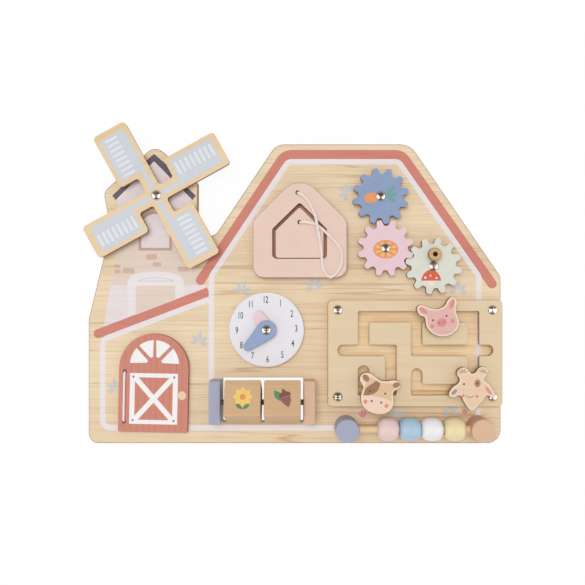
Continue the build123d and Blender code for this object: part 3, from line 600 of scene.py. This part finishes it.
cap_x = -147.6
cap_side = [(12.6, 136.0), (17.9, 126.0), (34.6, 111.9), (43.9, 103.0)]
roof = [(-x, y) for x, y in cap_side[::-1]] + [(0.0, 146.9)] + cap_side + [(39.0, 97.0), (-39.0, 97.0)]
panel = [(0.0, 139.1), (39.6, 99.2), (37.0, 87.0), (13.0, 91.4), (-13.0, 91.4), (-37.0, 87.0), (-39.6, 99.2)]
skin("mill_roof_print", [[moved(roof, cap_x, 0.0)]], slate_ink, **over_ink)
skin("mill_cap_print", [[moved(panel, cap_x, 0.0)]], wall_ink, **third_ink)

# ---- printed plants
# Small tufts and tulips in thin grey-blue and rose inks are scattered over the free wood, each no larger than
# a fingertip.


def blade(length, width, lean):
    """A pointed leaf that stands on the origin and leans over."""
    right = [(width * math.sin(math.pi * t / 8), length * t / 8) for t in range(9)]
    left = [(-x, y) for x, y in right[7:0:-1]]
    return moved(right + left, 0.0, 0.0, lean)


tufts = [
    (-101.0, -49.5, -8), (-187.0, -98.5, 12), (-56.0, 4.5, -20), (21.0, 9.0, 14), (58.0, 108.5, 62),
    (171.5, 4.5, -4), (104.0, -127.5, -65), (164.5, -124.0, 8),
]
tuft_groups = []
for x, y, turn in tufts:
    for lean, length in ((-76, 7.0), (-38, 9.5), (0, 12.5), (38, 9.5), (76, 7.0)):
        leaf = moved(moved(blade(length, 2.0, 0.0), 0.0, 2.6), 0.0, 0.0, lean)
        tuft_groups.append([moved(leaf, x, y - 4.0, turn)])
skin("plant_tufts_print", tuft_groups, plant_ink)
tulips = [(71.5, -126.0, 20, 1.3), (178.5, -123.5, -12, 0.9)]
cup = [(-3.2, 3.0), (-2.9, -1.2), (0.0, -3.4), (2.9, -1.2), (3.2, 3.0), (1.6, 0.9), (0.0, 3.6), (-1.6, 0.9)]
skin("tulips_print", [[moved(cup, x, y, turn, size)] for x, y, turn, size in tulips], blossom_ink)

# ---- windmill vanes
# One cross of 6 mm birch ply with four sails, its corners rounded. Each sail is printed pale blue inside a
# bare border, with a strip along the arm to the hub and eight white slats across it. The cross turns on one
# screw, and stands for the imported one, whose sails begin further from the hub.
vane_hub = (-143.5, 102.2)
vane_turn = 28.9
vane_top = 21.15
birch = {
    "pale": rgb(232, 208, 172), "dark": rgb(206, 170, 126), "edge": rgb(168, 124, 82), "ring_spacing": 0.012,
    "rings": 0.35, "fibres": 0.45, "broad": 0.5, "plies": 0.0024,
}
second_layer = {"base": -0.04, "top": 0.08}
vane_thickness, vane_hole = 6.0, 3.6
arm_side = 7.9
sail_start, sail_end, sail_side = 24.4, 83.6, 29.2
sail_corners = [
    (arm_side, -arm_side, 3.0), (sail_end, -arm_side, 4.0), (sail_end, sail_side, 4.0),
    (sail_start, sail_side, 4.0), (sail_start, arm_side, 3.0),
]
cross = []
for quarter in range(4):
    for x, y, radius in sail_corners:
        cross.append((*moved([(x, y)], *vane_hub, vane_turn + 90 * quarter)[0], radius))
cross_hole = oval(*vane_hub, vane_hole, vane_hole)
vane_birch = wood_finish("vane_birch", **birch, turn=vane_turn)
vanes = skin(
    "ply_vanes", [[rounded(cross, 6), cross_hole]], vane_birch, vane_top, "vanes", "birch_ply",
    base=vane_thickness, top=0.0,
)
soft_rim = vanes.modifiers.new("soft_rim", "BEVEL")
soft_rim.width = 0.0007
soft_rim.segments = 3
soft_rim.limit_method = "ANGLE"
soft_rim.angle_limit = math.radians(50)
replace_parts(vanes, "windmill_vanes")
sail_ink = wood_finish("sail_ink", **birch, turn=vane_turn, ink=rgb(203, 211, 219), cover=1.0)
slat_ink = wood_finish("slat_ink", **birch, turn=vane_turn, ink=rgb(226, 229, 236), cover=1.0)
slat_low, slat_high, slat_half, slat_pitch, slat_count = 6.5, 20.2, 1.4, 5.68, 8
first_slat = 33.3
sail_panel = [
    (5.6, -2.9, 0.8), (76.8, -2.9, 1.6), (76.8, 25.0, 1.6), (29.3, 25.0, 1.6), (29.3, 2.4, 0.8),
    (5.6, 2.4, 0.8),
]
sails, slats = [], []
for quarter in range(4):
    turn = vane_turn + 90 * quarter
    sails.append([moved(rounded(sail_panel, 4), *vane_hub, turn)])
    for k in range(slat_count):
        along = first_slat + slat_pitch * k
        slat = soft_oblong(along - slat_half, slat_low, along + slat_half, slat_high, 1.0)
        slats.append([moved(slat, *vane_hub, turn)])
skin("vane_sails_print", sails, sail_ink, vane_top, "vanes", "birch_ply")
skin("vane_slats_print", slats, slat_ink, vane_top, "vanes", "birch_ply", **second_layer)
give(wood_finish("turned_spacer", **birch), "vane_washer", "gear_washers")

# ---- screws
# Nickel-plated domed screws hold the maze and every piece that turns. Their barrel nuts are let into the
# back, and the plain steel axle, nuts and wood screws show only at the sides and behind.


def metal_finish(name, colour, roughness, grain):
    """Metal with fine marks in its polish."""
    finish, tree, shader, place = new_finish(name, roughness)
    marks = noise(tree, place, 700.0, 3.0)
    shader.inputs["Metallic"].default_value = 1.0
    dress(tree, shader, mixed(tree, marks, colour, toned(colour, 0.9)), marks, grain, 0.00005)
    return finish


nickel = metal_finish("polished_nickel", rgb(222, 215, 206), 0.06, 0.03)
give(nickel, "vane_screw", "gear_screws", "clock_screw", "maze_screws")
steel = metal_finish("plain_steel", rgb(150, 140, 132), 0.32, 0.2)
give(steel, "vane_nut", "gear_nuts", "clock_nut", "block_axle")
give(steel, "holder_screws", "post_screws", "pig_screw", "cow_screw", "goat_screw")
give(metal_finish("dark_steel", rgb(70, 54, 44), 0.45, 0.2), "knob_screw")

# ---- gears
# Three equal gears of 6 mm ply with twelve round-ended teeth, printed blue, pink and mint over the whole
# face, with a pear, an orange slice and a toadstool round their screws. The mint one has a waxed beech knob.
gear_top = 20.15
gear_places = {"pink_gear": (94.5, 47.4), "blue_gear": (89.4, 101.36), "mint_gear": (144.24, 28.8)}
gear_inks = {
    "pink_gear": rgb(232, 200, 208), "blue_gear": rgb(140, 159, 192), "mint_gear": rgb(219, 221, 208),
}
for name, ink in gear_inks.items():
    give(wood_finish(f"{name}_paint", **birch, turn=35, ink=ink, cover=1.06), name)


def motif_finish(name, ink):
    """An ink printed on a painted piece."""
    return wood_finish(name, **{**birch, "edge": ink, "plies": 0.0}, ink=ink, cover=1.05)


orange_ink = motif_finish("orange_ink", rgb(232, 150, 96))
amber_ink = motif_finish("amber_ink", rgb(240, 186, 120))
red_ink = motif_finish("red_ink", rgb(212, 96, 78))
teal_ink = motif_finish("teal_ink", rgb(112, 158, 158))
brown_ink = motif_finish("brown_ink", rgb(128, 84, 70))
cream_ink = motif_finish("cream_ink", rgb(244, 226, 200))

x, y = gear_places["blue_gear"]
pear = []
for k in range(28):
    along = math.cos(2 * math.pi * k / 28)
    pear.append((-7.6 + 9.6 * along, (4.9 - 2.0 * along) * math.sin(2 * math.pi * k / 28)))
skin("blue_gear_pear_print", [[moved(pear, x, y, 10)]], orange_ink, gear_top, "blue_gear")
leaf = moved(blade(12.5, 2.2, 0.0), 0.0, 2.4)
leaves = [[moved(leaf, x + 3.6, y + 0.8, turn)] for turn in (-50, -84, -118)]
skin("blue_gear_leaves_print", leaves, teal_ink, gear_top, "blue_gear")

x, y = gear_places["pink_gear"]
y -= 1.2
skin("pink_gear_slice_print", [[oval(x, y, 13.0, 9.6)]], orange_ink, gear_top, "pink_gear")
wedges = []
for k in range(8):
    middle = 22.5 + 45 * k
    tip_x, tip_y = moved([(1.0, 0.0)], 0, 0, middle)[0]
    wedge = moved([(0.0, 0.0)] + arc(0, 0, 1, -17, 17, 6), 0, 0, middle)
    wedges.append([[(x + 2.0 * tip_x + 9.2 * u, y + 1.6 * tip_y + 6.6 * v) for u, v in wedge]])
skin("pink_gear_wedges_print", wedges, amber_ink, gear_top, "pink_gear", **second_layer)

x, y = gear_places["mint_gear"]
x -= 2.6
toadstool = [(u, (v + 8.6) * 1.25 - 17.0) for u, v in arc(0, -8.6, 10.4, 8, 172, 20)]
skin("mint_gear_cap_print", [[moved(toadstool, x, y)]], red_ink, gear_top, "mint_gear")
stalk = rounded([(-3.4, -20.4, 2.0), (3.4, -20.4, 2.0), (2.8, -15.4, 0), (-2.8, -15.4, 0)], 5)
skin("mint_gear_stalk_print", [[moved(stalk, x, y)]], cream_ink, gear_top, "mint_gear")
cap_spots = (-6.0, -12.0, 1.3), (5.6, -12.4, 1.2), (-0.6, -10.0, 1.0)
spots = [[oval(x + u, y + v, r, r * 0.9, steps=14)] for u, v, r in cap_spots]
skin("mint_gear_spots_print", spots, cream_ink, gear_top, "mint_gear", **second_layer)

beech = {
    "pale": rgb(232, 204, 160), "dark": rgb(196, 154, 104), "edge": rgb(214, 176, 124), "ring_spacing": 0.006,
    "rings": 0.35, "fibres": 0.6, "broad": 0.4,
}
give(wood_finish("turned_beech", **beech), "bead_dowel")
waxed = {**beech, "pale": rgb(206, 170, 124), "dark": rgb(168, 128, 86), "edge": rgb(160, 120, 80)}
give(wood_finish("waxed_knob", **waxed), "crank_knob")

# ---- clock
# A 5 mm disc painted white and glued on, with slim upright numerals, and two hands of thin ply on one screw:
# the short one pink, the long one blue.
clock_place = (-29.3, -37.5)
dial_top = 17.0
numeral_radius = 31.0
numeral_height, numeral_squeeze = 6.9, 0.60
digit_share = 0.70
stroke_swell = 0.08


def paint_finish(name, colour, roughness=0.42, relief=0.12, edge=None):
    """Paint on smooth wood, slightly uneven, with the wood's fibre just raised in it."""
    finish, tree, shader, place = new_finish(name, roughness)
    fibre = noise(tree, drawn_out(tree, place, 0.08), 900.0, 3.0)
    both = times(tree, sums(tree, "ADD", fibre, noise(tree, place, 60.0, 3.0)), 0.5)
    tone = mixed(tree, both, toned(colour, 1.05), toned(colour, 0.93))
    if edge:
        bare = mixed(tree, fibre, edge, toned(edge, 0.6))
        tone = mixed(tree, ramp(tree, levelness(tree), 0.90, 0.45), tone, bare)
    dress(tree, shader, tone, fibre, relief, 0.0001)
    return finish


give(paint_finish("dial_paint", rgb(231, 229, 234), edge=rgb(226, 206, 178)), "clock_dial")
give(paint_finish("pink_hand_paint", rgb(232, 206, 212), edge=rgb(206, 160, 140)), "hour_hand")
give(paint_finish("blue_hand_paint", rgb(147, 165, 200), edge=rgb(128, 132, 160)), "minute_hand")
numeral_ink = motif_finish("numeral_ink", rgb(48, 44, 50))
for hour in range(1, 13):
    name = f"numeral_{hour}"
    x, y = arc(*clock_place, numeral_radius, 92 - 30 * hour, 92, 1)[0]
    curve = bpy.data.curves.new(name, "FONT")
    curve.body = str(hour)
    curve.align_x = "CENTER"
    curve.align_y = "CENTER"
    curve.size = numeral_height / digit_share / 1000
    curve.extrude = (ink_base + ink_top) / 2 / 1000
    curve.offset = stroke_swell / 1000
    mesh = mesh_of(curve)
    mesh.transform(Matrix.Diagonal((numeral_squeeze, 1.0, 1.0, 1.0)))
    mesh.transform(Matrix.Translation((x / 1000, y / 1000, (dial_top + (ink_top - ink_base) / 2) / 1000)))
    mesh.materials.clear()
    add_piece(name, mesh, numeral_ink, "board")

# ---- barn door
# A 5 mm door with a round head, printed terracotta over boards drawn in darker lines, with a fan light, a
# cross-braced panel and a knob in white and wood colour. White elastic through two holes hinges it, and a
# dark ring round each hole is painted shade of the hole's inside.
door_corner = (-184.4, -143.6)
door_turn = -1.2
door_width = 72.6
door_side = 66.4
door_face = 17.15


def on_door(points):
    """Points measured from the door's lower left corner, put where the door lies."""
    return moved(points, *door_corner, door_turn)


door_ink = {**birch, "turn": 88.8, "cover": 1.04, "edge": rgb(170, 92, 76), "rings": 0.2}
give(wood_finish("barn_door_paint", **door_ink, ink=rgb(204, 132, 115)), "barn_door")
board_line = wood_finish("door_line_ink", **door_ink, ink=rgb(184, 104, 90))
white = rgb(243, 240, 240)
door_white = wood_finish("door_white_ink", **{**door_ink, "ink": white, "edge": white})
door_knob = wood_finish("door_knob_ink", **{**birch, "edge": rgb(240, 214, 170), "plies": 0.0})
line_half, line_low = 0.22, 1.4
lines = []
for k in range(1, 11):
    x = door_width * k / 11 + 0.5 * math.sin(5.0 * k)
    top = door_side + math.sqrt(max(0.0, (door_width / 2 - 1.6) ** 2 - (x - door_width / 2) ** 2))
    lines.append([on_door(oblong(x - line_half, line_low, x + line_half, top))])
skin("door_boards_print", lines, board_line, door_face, "door", base=0.02, top=0.03)
panel_left, panel_right, panel_low, panel_high = 11.6, 61.6, 8.4, 61.4
upright_bar, level_bar, brace = 5.2, 4.4, 5.4
left, right = panel_left + upright_bar, panel_right - upright_bar
low, high = panel_low + level_bar, panel_high - level_bar
x, y = (left + right) / 2, (low + high) / 2
slant = math.hypot(right - left, high - low) / 2
gap_x = brace / 2 * slant / ((high - low) / 2)
gap_y = brace / 2 * slant / ((right - left) / 2)
holes = [
    [(left + gap_x, low), (right - gap_x, low), (x, y - gap_y)],
    [(left + gap_x, high), (x, y + gap_y), (right - gap_x, high)],
    [(left, low + gap_y), (x - gap_x, y), (left, high - gap_y)],
    [(right, low + gap_y), (right, high - gap_y), (x + gap_x, y)],
]
over_lines = {"base": -0.03}
brace_loops = [on_door(loop) for loop in [oblong(panel_left, panel_low, panel_right, panel_high), *holes]]
skin("door_brace_print", [brace_loops], door_white, door_face, "door", **over_lines)
fan_x, fan_y = door_width / 2 + 0.6, 70.4
panes = []
for start, end in ((3, 42), (50, 87), (93, 130), (138, 177)):
    heading = (start + end) / 2
    pane = arc(fan_x, fan_y, 25.6, start, end, 8) + arc(fan_x, fan_y, 8.2, heading + 9, heading - 9, 4)
    panes.append([on_door(pane)])
skin("door_fan_light_print", panes, door_white, door_face, "door", **over_lines)
skin("door_knob_print", [[on_door(oval(66.2, 38.8, 4.3, 4.5))]], door_knob, door_face, "door", **over_lines)
bolts = [[on_door(oval(x, y, 1.15, 1.15, steps=12))] for x in (15.2, 57.8) for y in (12.2, 57.6)]
bolt_ink = motif_finish("bolt_ink", rgb(120, 108, 112))
skin("door_bolts_print", bolts, bolt_ink, door_face, "door", base=-0.05, top=0.08)


def elastic_finish():
    """Round white elastic with a braided cover."""
    finish, tree, shader, place = new_finish("white_elastic", 0.7)
    braid = step(
        tree, "ShaderNodeTexWave", {"Vector": place, "Scale": 420.0, "Distortion": 1.5, "Detail": 1.0},
        wave_type="BANDS", bands_direction="DIAGONAL",
    ).outputs["Fac"]
    dress(tree, shader, mixed(tree, braid, rgb(226, 218, 220), rgb(250, 244, 246)), braid, 0.5, 0.0002)
    return finish


give(elastic_finish(), "door_hinge_cord", "door_cord_legs")


def hole_rim(x, y, hole, width, aside, up):
    """A ring round a hole of some radius, a little aside of it, painted as the shade inside the hole."""
    return [oval(x + aside, y + up, hole + width, hole + width), oval(x, y, hole, hole)]


hinge_inset = 6.0
# Dark rings round the elastic's holes, thicker away from the elastic: painted shade of the holes.
rims = []
for y, up in ((11.0, -0.35), (62.4, 0.35)):
    rims.append([on_door(loop) for loop in hole_rim(hinge_inset, y, 1.6, 0.5, 0.0, up)])
skin("door_hole_shade_rings", rims, motif_finish("door_hole_painted_shade", rgb(70, 46, 38)), door_face, "door")

# ---- shape sorter
# The frame and the house that fits it are 9 mm board painted powder pink on the face. Their sawn edges are
# left bare and a little scorched, and the board inside the frame is painted, so the gap round the house shows
# brown. A dark crescent round each of the pull cord's two holes is painted shade of the hole's inside.
powder = paint_finish("powder_pink", rgb(229, 201, 187), edge=rgb(158, 100, 74), relief=0.2)
give(powder, "house_frame", "house_plug")
low, high = (Vector(corner) * 1000 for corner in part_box("house_plug"))
eaves_y = low.y + 31.0
floor_outline = [
    (low.x - 4.6, low.y - 1.8), (high.x + 4.6, low.y - 1.8), (high.x + 4.6, eaves_y),
    ((low.x + high.x) / 2, high.y + 6.0), (low.x - 4.6, eaves_y),
]
# Painted shade in the cord holes: a dark crescent, thicker on its left side.
cord_hole_shade = motif_finish("cord_hole_painted_shade", rgb(70, 46, 38))
cord_holes = ("frame_hole_rim", frame_hole, 21.0, "board"), ("plug_hole_rim", plug_hole, 21.15, "house")
for name, (x, y), z, body in cord_holes:
    skin(name, [hole_rim(x, y, 1.85, 0.45, -0.35, 0.1)], cord_hole_shade, z, body)
floor_ink = print_finish("house_floor_ink", rgb(212, 158, 128), 0.95)
skin("house_floor_print", [[floor_outline]], floor_ink)

# ---- picture blocks
# Two beech cubes turn on a steel axle over a window through the board. Two bars screwed on from behind hold
# the axle, one lilac and one tan. A flower or an acorn is printed on two opposite sides of each cube.
block_beech = {
    "pale": rgb(211, 176, 136), "dark": rgb(188, 147, 106), "edge": rgb(204, 166, 124), "ring_spacing": 0.010,
    "rings": 0.3, "fibres": 0.45, "broad": 0.5, "edge_tone": 0.0,
}
give(wood_finish("cube_beech", **block_beech), "left_block", "right_block")
give(paint_finish("lilac_paint", rgb(163, 167, 187), roughness=0.5), "left_block_holder", "left_bead_post")
give(paint_finish("tan_paint", rgb(216, 179, 151), roughness=0.5), "right_block_holder", "right_bead_post")
block_half = 18.5
block_turn = -23.0
block_middles = {"left": (-0.0527, -0.1115, 0.0265), "right": (-0.0125, -0.1115, 0.0265)}
sun_ink = motif_finish("sun_ink", rgb(240, 206, 112))
leaf_ink = motif_finish("leaf_ink", rgb(92, 140, 104))
plum_ink = motif_finish("plum_ink", rgb(150, 92, 92))
petals = [[moved(oval(0.0, 5.6, 2.7, 4.2), 0.5, 1.0, 45 * k)] for k in range(8)]
flower_leaves = [[moved(blade(9.0, 2.0, lean), 0.5, -11.5, 0)] for lean in (52, -52)]
acorn = [(-5.0, 0.0), (-4.6, -5.0), (-1.6, -9.4), (0.0, -11.2), (1.6, -9.4), (4.6, -5.0), (5.0, 0.0)]
acorn_cap = [
    (-6.4, 0.0), (-5.6, 3.2), (-2.0, 5.2), (-0.8, 8.2), (0.8, 8.2), (2.0, 5.2), (5.6, 3.2), (6.4, 0.0),
]
cube_prints = [
    ("left_cube_petals", petals[::2], sun_ink, {}),
    ("left_cube_back_petals", petals[1::2], sun_ink, {"base": 0.01, "top": 0.03}),
    ("left_cube_middle", [[oval(0.5, 1.0, 3.0, 3.0)]], orange_ink, second_layer),
    ("left_cube_leaves", flower_leaves, leaf_ink, {"base": 0.015, "top": 0.04}),
    ("right_cube_nut", [[moved(acorn, 3.0, 1.0, 18)]], plum_ink, {}),
    ("right_cube_cap", [[moved(acorn_cap, 3.0, 1.3, 18)]], brown_ink, second_layer),
    ("right_cube_leaf", [[moved(blade(15.0, 3.6, 40), 1.0, -4.0)]], leaf_ink, {"base": 0.01, "top": 0.03}),
]
for side in (0, 2):
    turn = Matrix.Rotation(math.radians(block_turn + 90 * side), 4, "X")
    for name, groups, finish, layer in cube_prints:
        hand = name.split("_")[0]
        piece = skin(f"{name}_{side}", groups, finish, block_half, f"{hand}_block", "beech", **layer)
        piece.data.transform(Matrix.Translation(block_middles[hand]) @ turn)

# ---- bead bar
# Four turned beads of 25 mm with well rounded ends, dipped in satin paint, slide on a beech bar between two
# painted posts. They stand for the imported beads, which are rounded less.
bead_inks = {
    "pink_bead": rgb(231, 202, 199), "blue_bead": rgb(172, 198, 218), "white_bead": rgb(237, 236, 236),
    "yellow_bead": rgb(236, 219, 172),
}
bead_bore = 0.0050
bead_sides, bead_steps = 48, 12
bead_reach, bead_fullness, bead_crown = 0.90, 2.7, 2.3


def turned_bead(name, finish):
    """A bead turned about the bar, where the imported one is."""
    low, high = (Vector(corner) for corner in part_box(name))
    middle = (low + high) / 2
    half = (high.x - low.x) / 2
    full = (high.z - low.z) / 2
    profile = [(-half, bead_bore)]
    for k in range(2 * bead_steps + 1):
        along = half * (k / bead_steps - 1)
        drop = abs(along / half * bead_reach) ** bead_fullness
        profile.append((along, full * (1 - drop) ** (1 / bead_crown)))
    profile.append((half, bead_bore))
    corners = []
    for along, radius in profile:
        for k in range(bead_sides):
            angle = 2 * math.pi * k / bead_sides
            corners.append(middle + Vector((along, radius * math.cos(angle), radius * math.sin(angle))))
    starts = [ring * bead_sides for ring in range(len(profile))] + [0]
    mesh = solid_mesh(name, corners, tube_faces(starts, bead_sides))
    mesh.shade_smooth()
    return add_piece(f"turned_{name}", mesh, finish, name)


for name, ink in bead_inks.items():
    finish = paint_finish(f"{name}_paint", ink, roughness=0.30, relief=0.05)
    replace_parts(turned_bead(name, finish), name)

# ---- maze
# A 9 mm birch ply plate with routed slots, screwed on at its corners. The closed loop of slots leaves one
# loose island, which is glued to the board. The routed edges are toasted a little. Where the slots show the
# board, a paler, more orange pine lies over it: painted light that lifts the slot floors out of their shade.
maze_birch = {
    **birch, "pale": rgb(226, 206, 174), "dark": rgb(200, 168, 126), "edge": rgb(208, 154, 100),
    "plies": 0.003, "rings": 0.14, "fibres": 0.36, "broad": 0.60,
}
give(wood_finish("maze_birch", **maze_birch), "maze_plate", "maze_island")
low, high = (Vector(corner) * 1000 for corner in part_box("maze_plate"))
floor_edge = 6.0
maze_floor = oblong(low.x + floor_edge, low.y + floor_edge, high.x - floor_edge, high.y - floor_edge)
# Pine painted paler than the board: painted light on the shaded slot floors.
pine_lit_in_slots = {
    **pine, "pale": rgb(252, 232, 192), "dark": rgb(206, 158, 102), "fibres": 0.6, "broad": 0.95,
    "lines": 0.45,
}
skin("maze_floor", [[maze_floor]], wood_finish("pine_lit_in_slots", **pine_lit_in_slots), slot="pine_board")
give(wood_finish("glide_birch", **birch), "pig_glide", "cow_glide", "goat_glide")
give(wood_finish("peg_beech", **beech), "pig_peg", "cow_peg", "goat_peg")

# ---- animal heads
# A pig, a cow and a goat of 6 mm ply ride in the maze. Each is sawn just outside its printed face, so a pale
# rim of bare wood stays round it.
head_top = 30.8
bare_rim = 1.9
layer_step = 0.03
head_places = {"pig": (148.1, -23.8, 15.0), "cow": (85.5, -99.4, -12.0), "goat": (180.8, -99.4, -5.0)}
head_birch = {**birch, "pale": rgb(240, 222, 196), "dark": rgb(220, 192, 154)}
give(wood_finish("head_birch", **head_birch), "pig_head", "cow_head", "goat_head")


def head_outline(node, inset):
    """The outline of a head's underside, some mm inside its edge."""
    mesh = nodes[node].data
    low = min(vertex.co.z for vertex in mesh.vertices)
    work = bmesh.new()
    work.from_mesh(mesh)
    bmesh.ops.remove_doubles(work, verts=work.verts, dist=1e-6)
    under = [face for face in work.faces if all(vertex.co.z < low + 1e-5 for vertex in face.verts)]
    ahead = {}
    for face in under:
        for corner in face.loops:
            if sum(near in under for near in corner.edge.link_faces) == 1:
                ahead[corner.vert] = corner.link_loop_next.vert
    loops = []
    while ahead:
        here = next(iter(ahead))
        loop = []
        while here in ahead:
            loop.append((here.co.x * 1000, here.co.y * 1000))
            here = ahead.pop(here)
        loops.append(loop[::-1])
    work.free()
    loop = max(loops, key=len)
    found = []
    for before, here, after in zip(loop[-1:] + loop, loop, loop[1:] + loop):
        along = Vector(after) - Vector(before)
        found.append(tuple(Vector(here) + Vector((-along.y, along.x)).normalized() * inset))
    return found


def head_print(name, groups, finish, layer):
    """A print on the head that its name starts with, measured from the peg with the face upright."""
    animal = name.split("_")[0]
    put = [[moved(loop, *head_places[animal]) for loop in loops] for loops in groups]
    rise = layer_step * layer
    skin(name, put, finish, head_top, animal, base=ink_base - rise, top=ink_top + rise)


def face_print(animal, finish):
    """The whole printed face of a head, inside its bare rim."""
    skin(f"{animal}_face_print", [[head_outline(f"{animal}_head", bare_rim)]], finish, head_top, animal)


def dots(wide, high, steps, *places):
    """Round marks of one size."""
    return [[oval(x, y, wide, high, steps=steps)] for x, y in places]


def face_finish(name, ink, ink_dark=None):
    """A soft uneven ink on a head."""
    bare = {**head_birch, "edge": ink, "plies": 0.0}
    return wood_finish(name, **bare, ink=ink, cover=1.0, ink_dark=ink_dark)


eye_ink = face_finish("eye_ink", rgb(66, 54, 56))
cheek_ink = face_finish("cheek_ink", rgb(228, 138, 118))
pig_pink = face_finish("pig_pink_ink", rgb(223, 177, 170), rgb(204, 146, 144))
pig_deep = face_finish("pig_deep_ink", rgb(214, 136, 134))
pig_darker = face_finish("pig_darker_ink", rgb(170, 84, 88))

face_print("pig", pig_pink)
ears = [[oval(-14.2, 10.6, 4.6, 2.0, 128)], [oval(15.8, 9.8, 5.0, 2.0, 55)]]
head_print("pig_ears_print", ears, pig_deep, 1)
head_print("pig_snout_print", [[oval(0.7, -6.1, 5.4, 4.3)]], pig_deep, 1)
head_print("pig_nostrils_print", dots(0.8, 1.1, 14, (-1.8, -6.0), (2.8, -6.0)), pig_darker, 2)
head_print("pig_cheeks_print", dots(2.1, 2.1, 28, (-9.7, -7.3), (11.8, -7.4)), pig_deep, 1)
head_print("pig_eyes_print", dots(1.0, 1.1, 16, (-7.5, -1.3), (7.1, -0.6)), eye_ink, 1)

cow_muzzle = face_finish("cow_muzzle_ink", rgb(238, 208, 190))
cow_brow = face_finish("cow_brow_ink", rgb(222, 186, 150))
cow_patch = face_finish("cow_patch_ink", rgb(150, 104, 76))
cow_ear = face_finish("cow_ear_ink", rgb(164, 112, 84))
face_print("cow", cow_muzzle)
brow = [
    (-14.3, -8.0), (-7.0, -6.3), (0.0, -5.8), (8.0, -6.2), (15.6, -7.2), (14.2, -2.4), (13.6, 2.8),
    (16.4, 6.6), (12.6, 10.6), (7.0, 9.6), (0.0, 9.0), (-5.4, 10.8), (-9.6, 12.2), (-13.4, 8.4), (-14.6, 2.0),
]
head_print("cow_brow_print", [[brow]], cow_brow, 1)
patch = [
    (-14.4, -7.4), (-12.0, -6.9), (-8.0, -6.0), (-3.6, -3.4), (-0.6, 0.4), (0.4, 6.0), (0.0, 8.4),
    (-4.6, 9.6), (-7.4, 6.4), (-10.4, 3.6), (-13.4, -0.4),
]
head_print("cow_patch_print", [[patch]], cow_patch, 2)
ears = [[oval(-15.2, 10.4, 4.2, 3.0, 140)], [oval(16.6, 9.8, 3.8, 2.8, 30)]]
head_print("cow_ears_print", ears, cow_ear, 2)
head_print("cow_eyes_print", dots(1.0, 1.15, 16, (-8.4, -1.8), (7.3, -1.1)), eye_ink, 3)
head_print("cow_nostrils_print", dots(1.0, 1.1, 16, (-4.5, -11.4), (5.2, -11.0)), eye_ink, 3)
head_print("cow_cheeks_print", dots(2.1, 2.1, 28, (-10.7, -13.4), (11.2, -13.0)), cheek_ink, 3)

goat_face = face_finish("goat_face_ink", rgb(232, 200, 172))
goat_grey = face_finish("goat_grey_ink", rgb(150, 136, 132))
goat_brown = face_finish("goat_brown_ink", rgb(168, 124, 92))
face_print("goat", goat_face)
head_print("goat_eye_patch_print", [[oval(5.2, 8.4, 3.1, 4.0)]], goat_brown, 1)
horn_lines = []
stroke = [(1.2, -0.35), (4.9, -0.42), (4.9, 0.42), (1.2, 0.35)]
for side, x, y in ((-1, -10.4, 17.2), (1, 9.6, 19.2)):
    horn_lines += [[moved(stroke, x, y, 90 - 14 * side + 34 * k)] for k in range(-2, 3)]
head_print("goat_horns_print", horn_lines, goat_grey, 1)
head_print("goat_left_ear_print", [[oval(-17.6, -2.6, 3.6, 1.6, 48)]], goat_grey, 1)
head_print("goat_right_ear_print", [[oval(17.0, 2.0, 5.2, 1.5, -52)]], cheek_ink, 1)
head_print("goat_eyes_print", dots(1.0, 1.15, 16, (-8.4, 6.4), (5.2, 8.2)), eye_ink, 2)
angles = [math.radians(a) for a in range(200, 345, 12)]
smile = band([(-1.7 + 3.4 * math.cos(a), -4.0 + 2.6 * math.sin(a)) for a in angles], 0.6, True, True)
head_print("goat_smile_print", [[smile]], eye_ink, 2)
head_print("goat_cheeks_print", dots(1.7, 1.7, 28, (-8.2, -5.6), (5.8, -5.0)), cheek_ink, 1)

# ---- size
# The box round the finished board is measured, in metres.
scene.view_settings.view_transform = "Standard"
low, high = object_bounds()
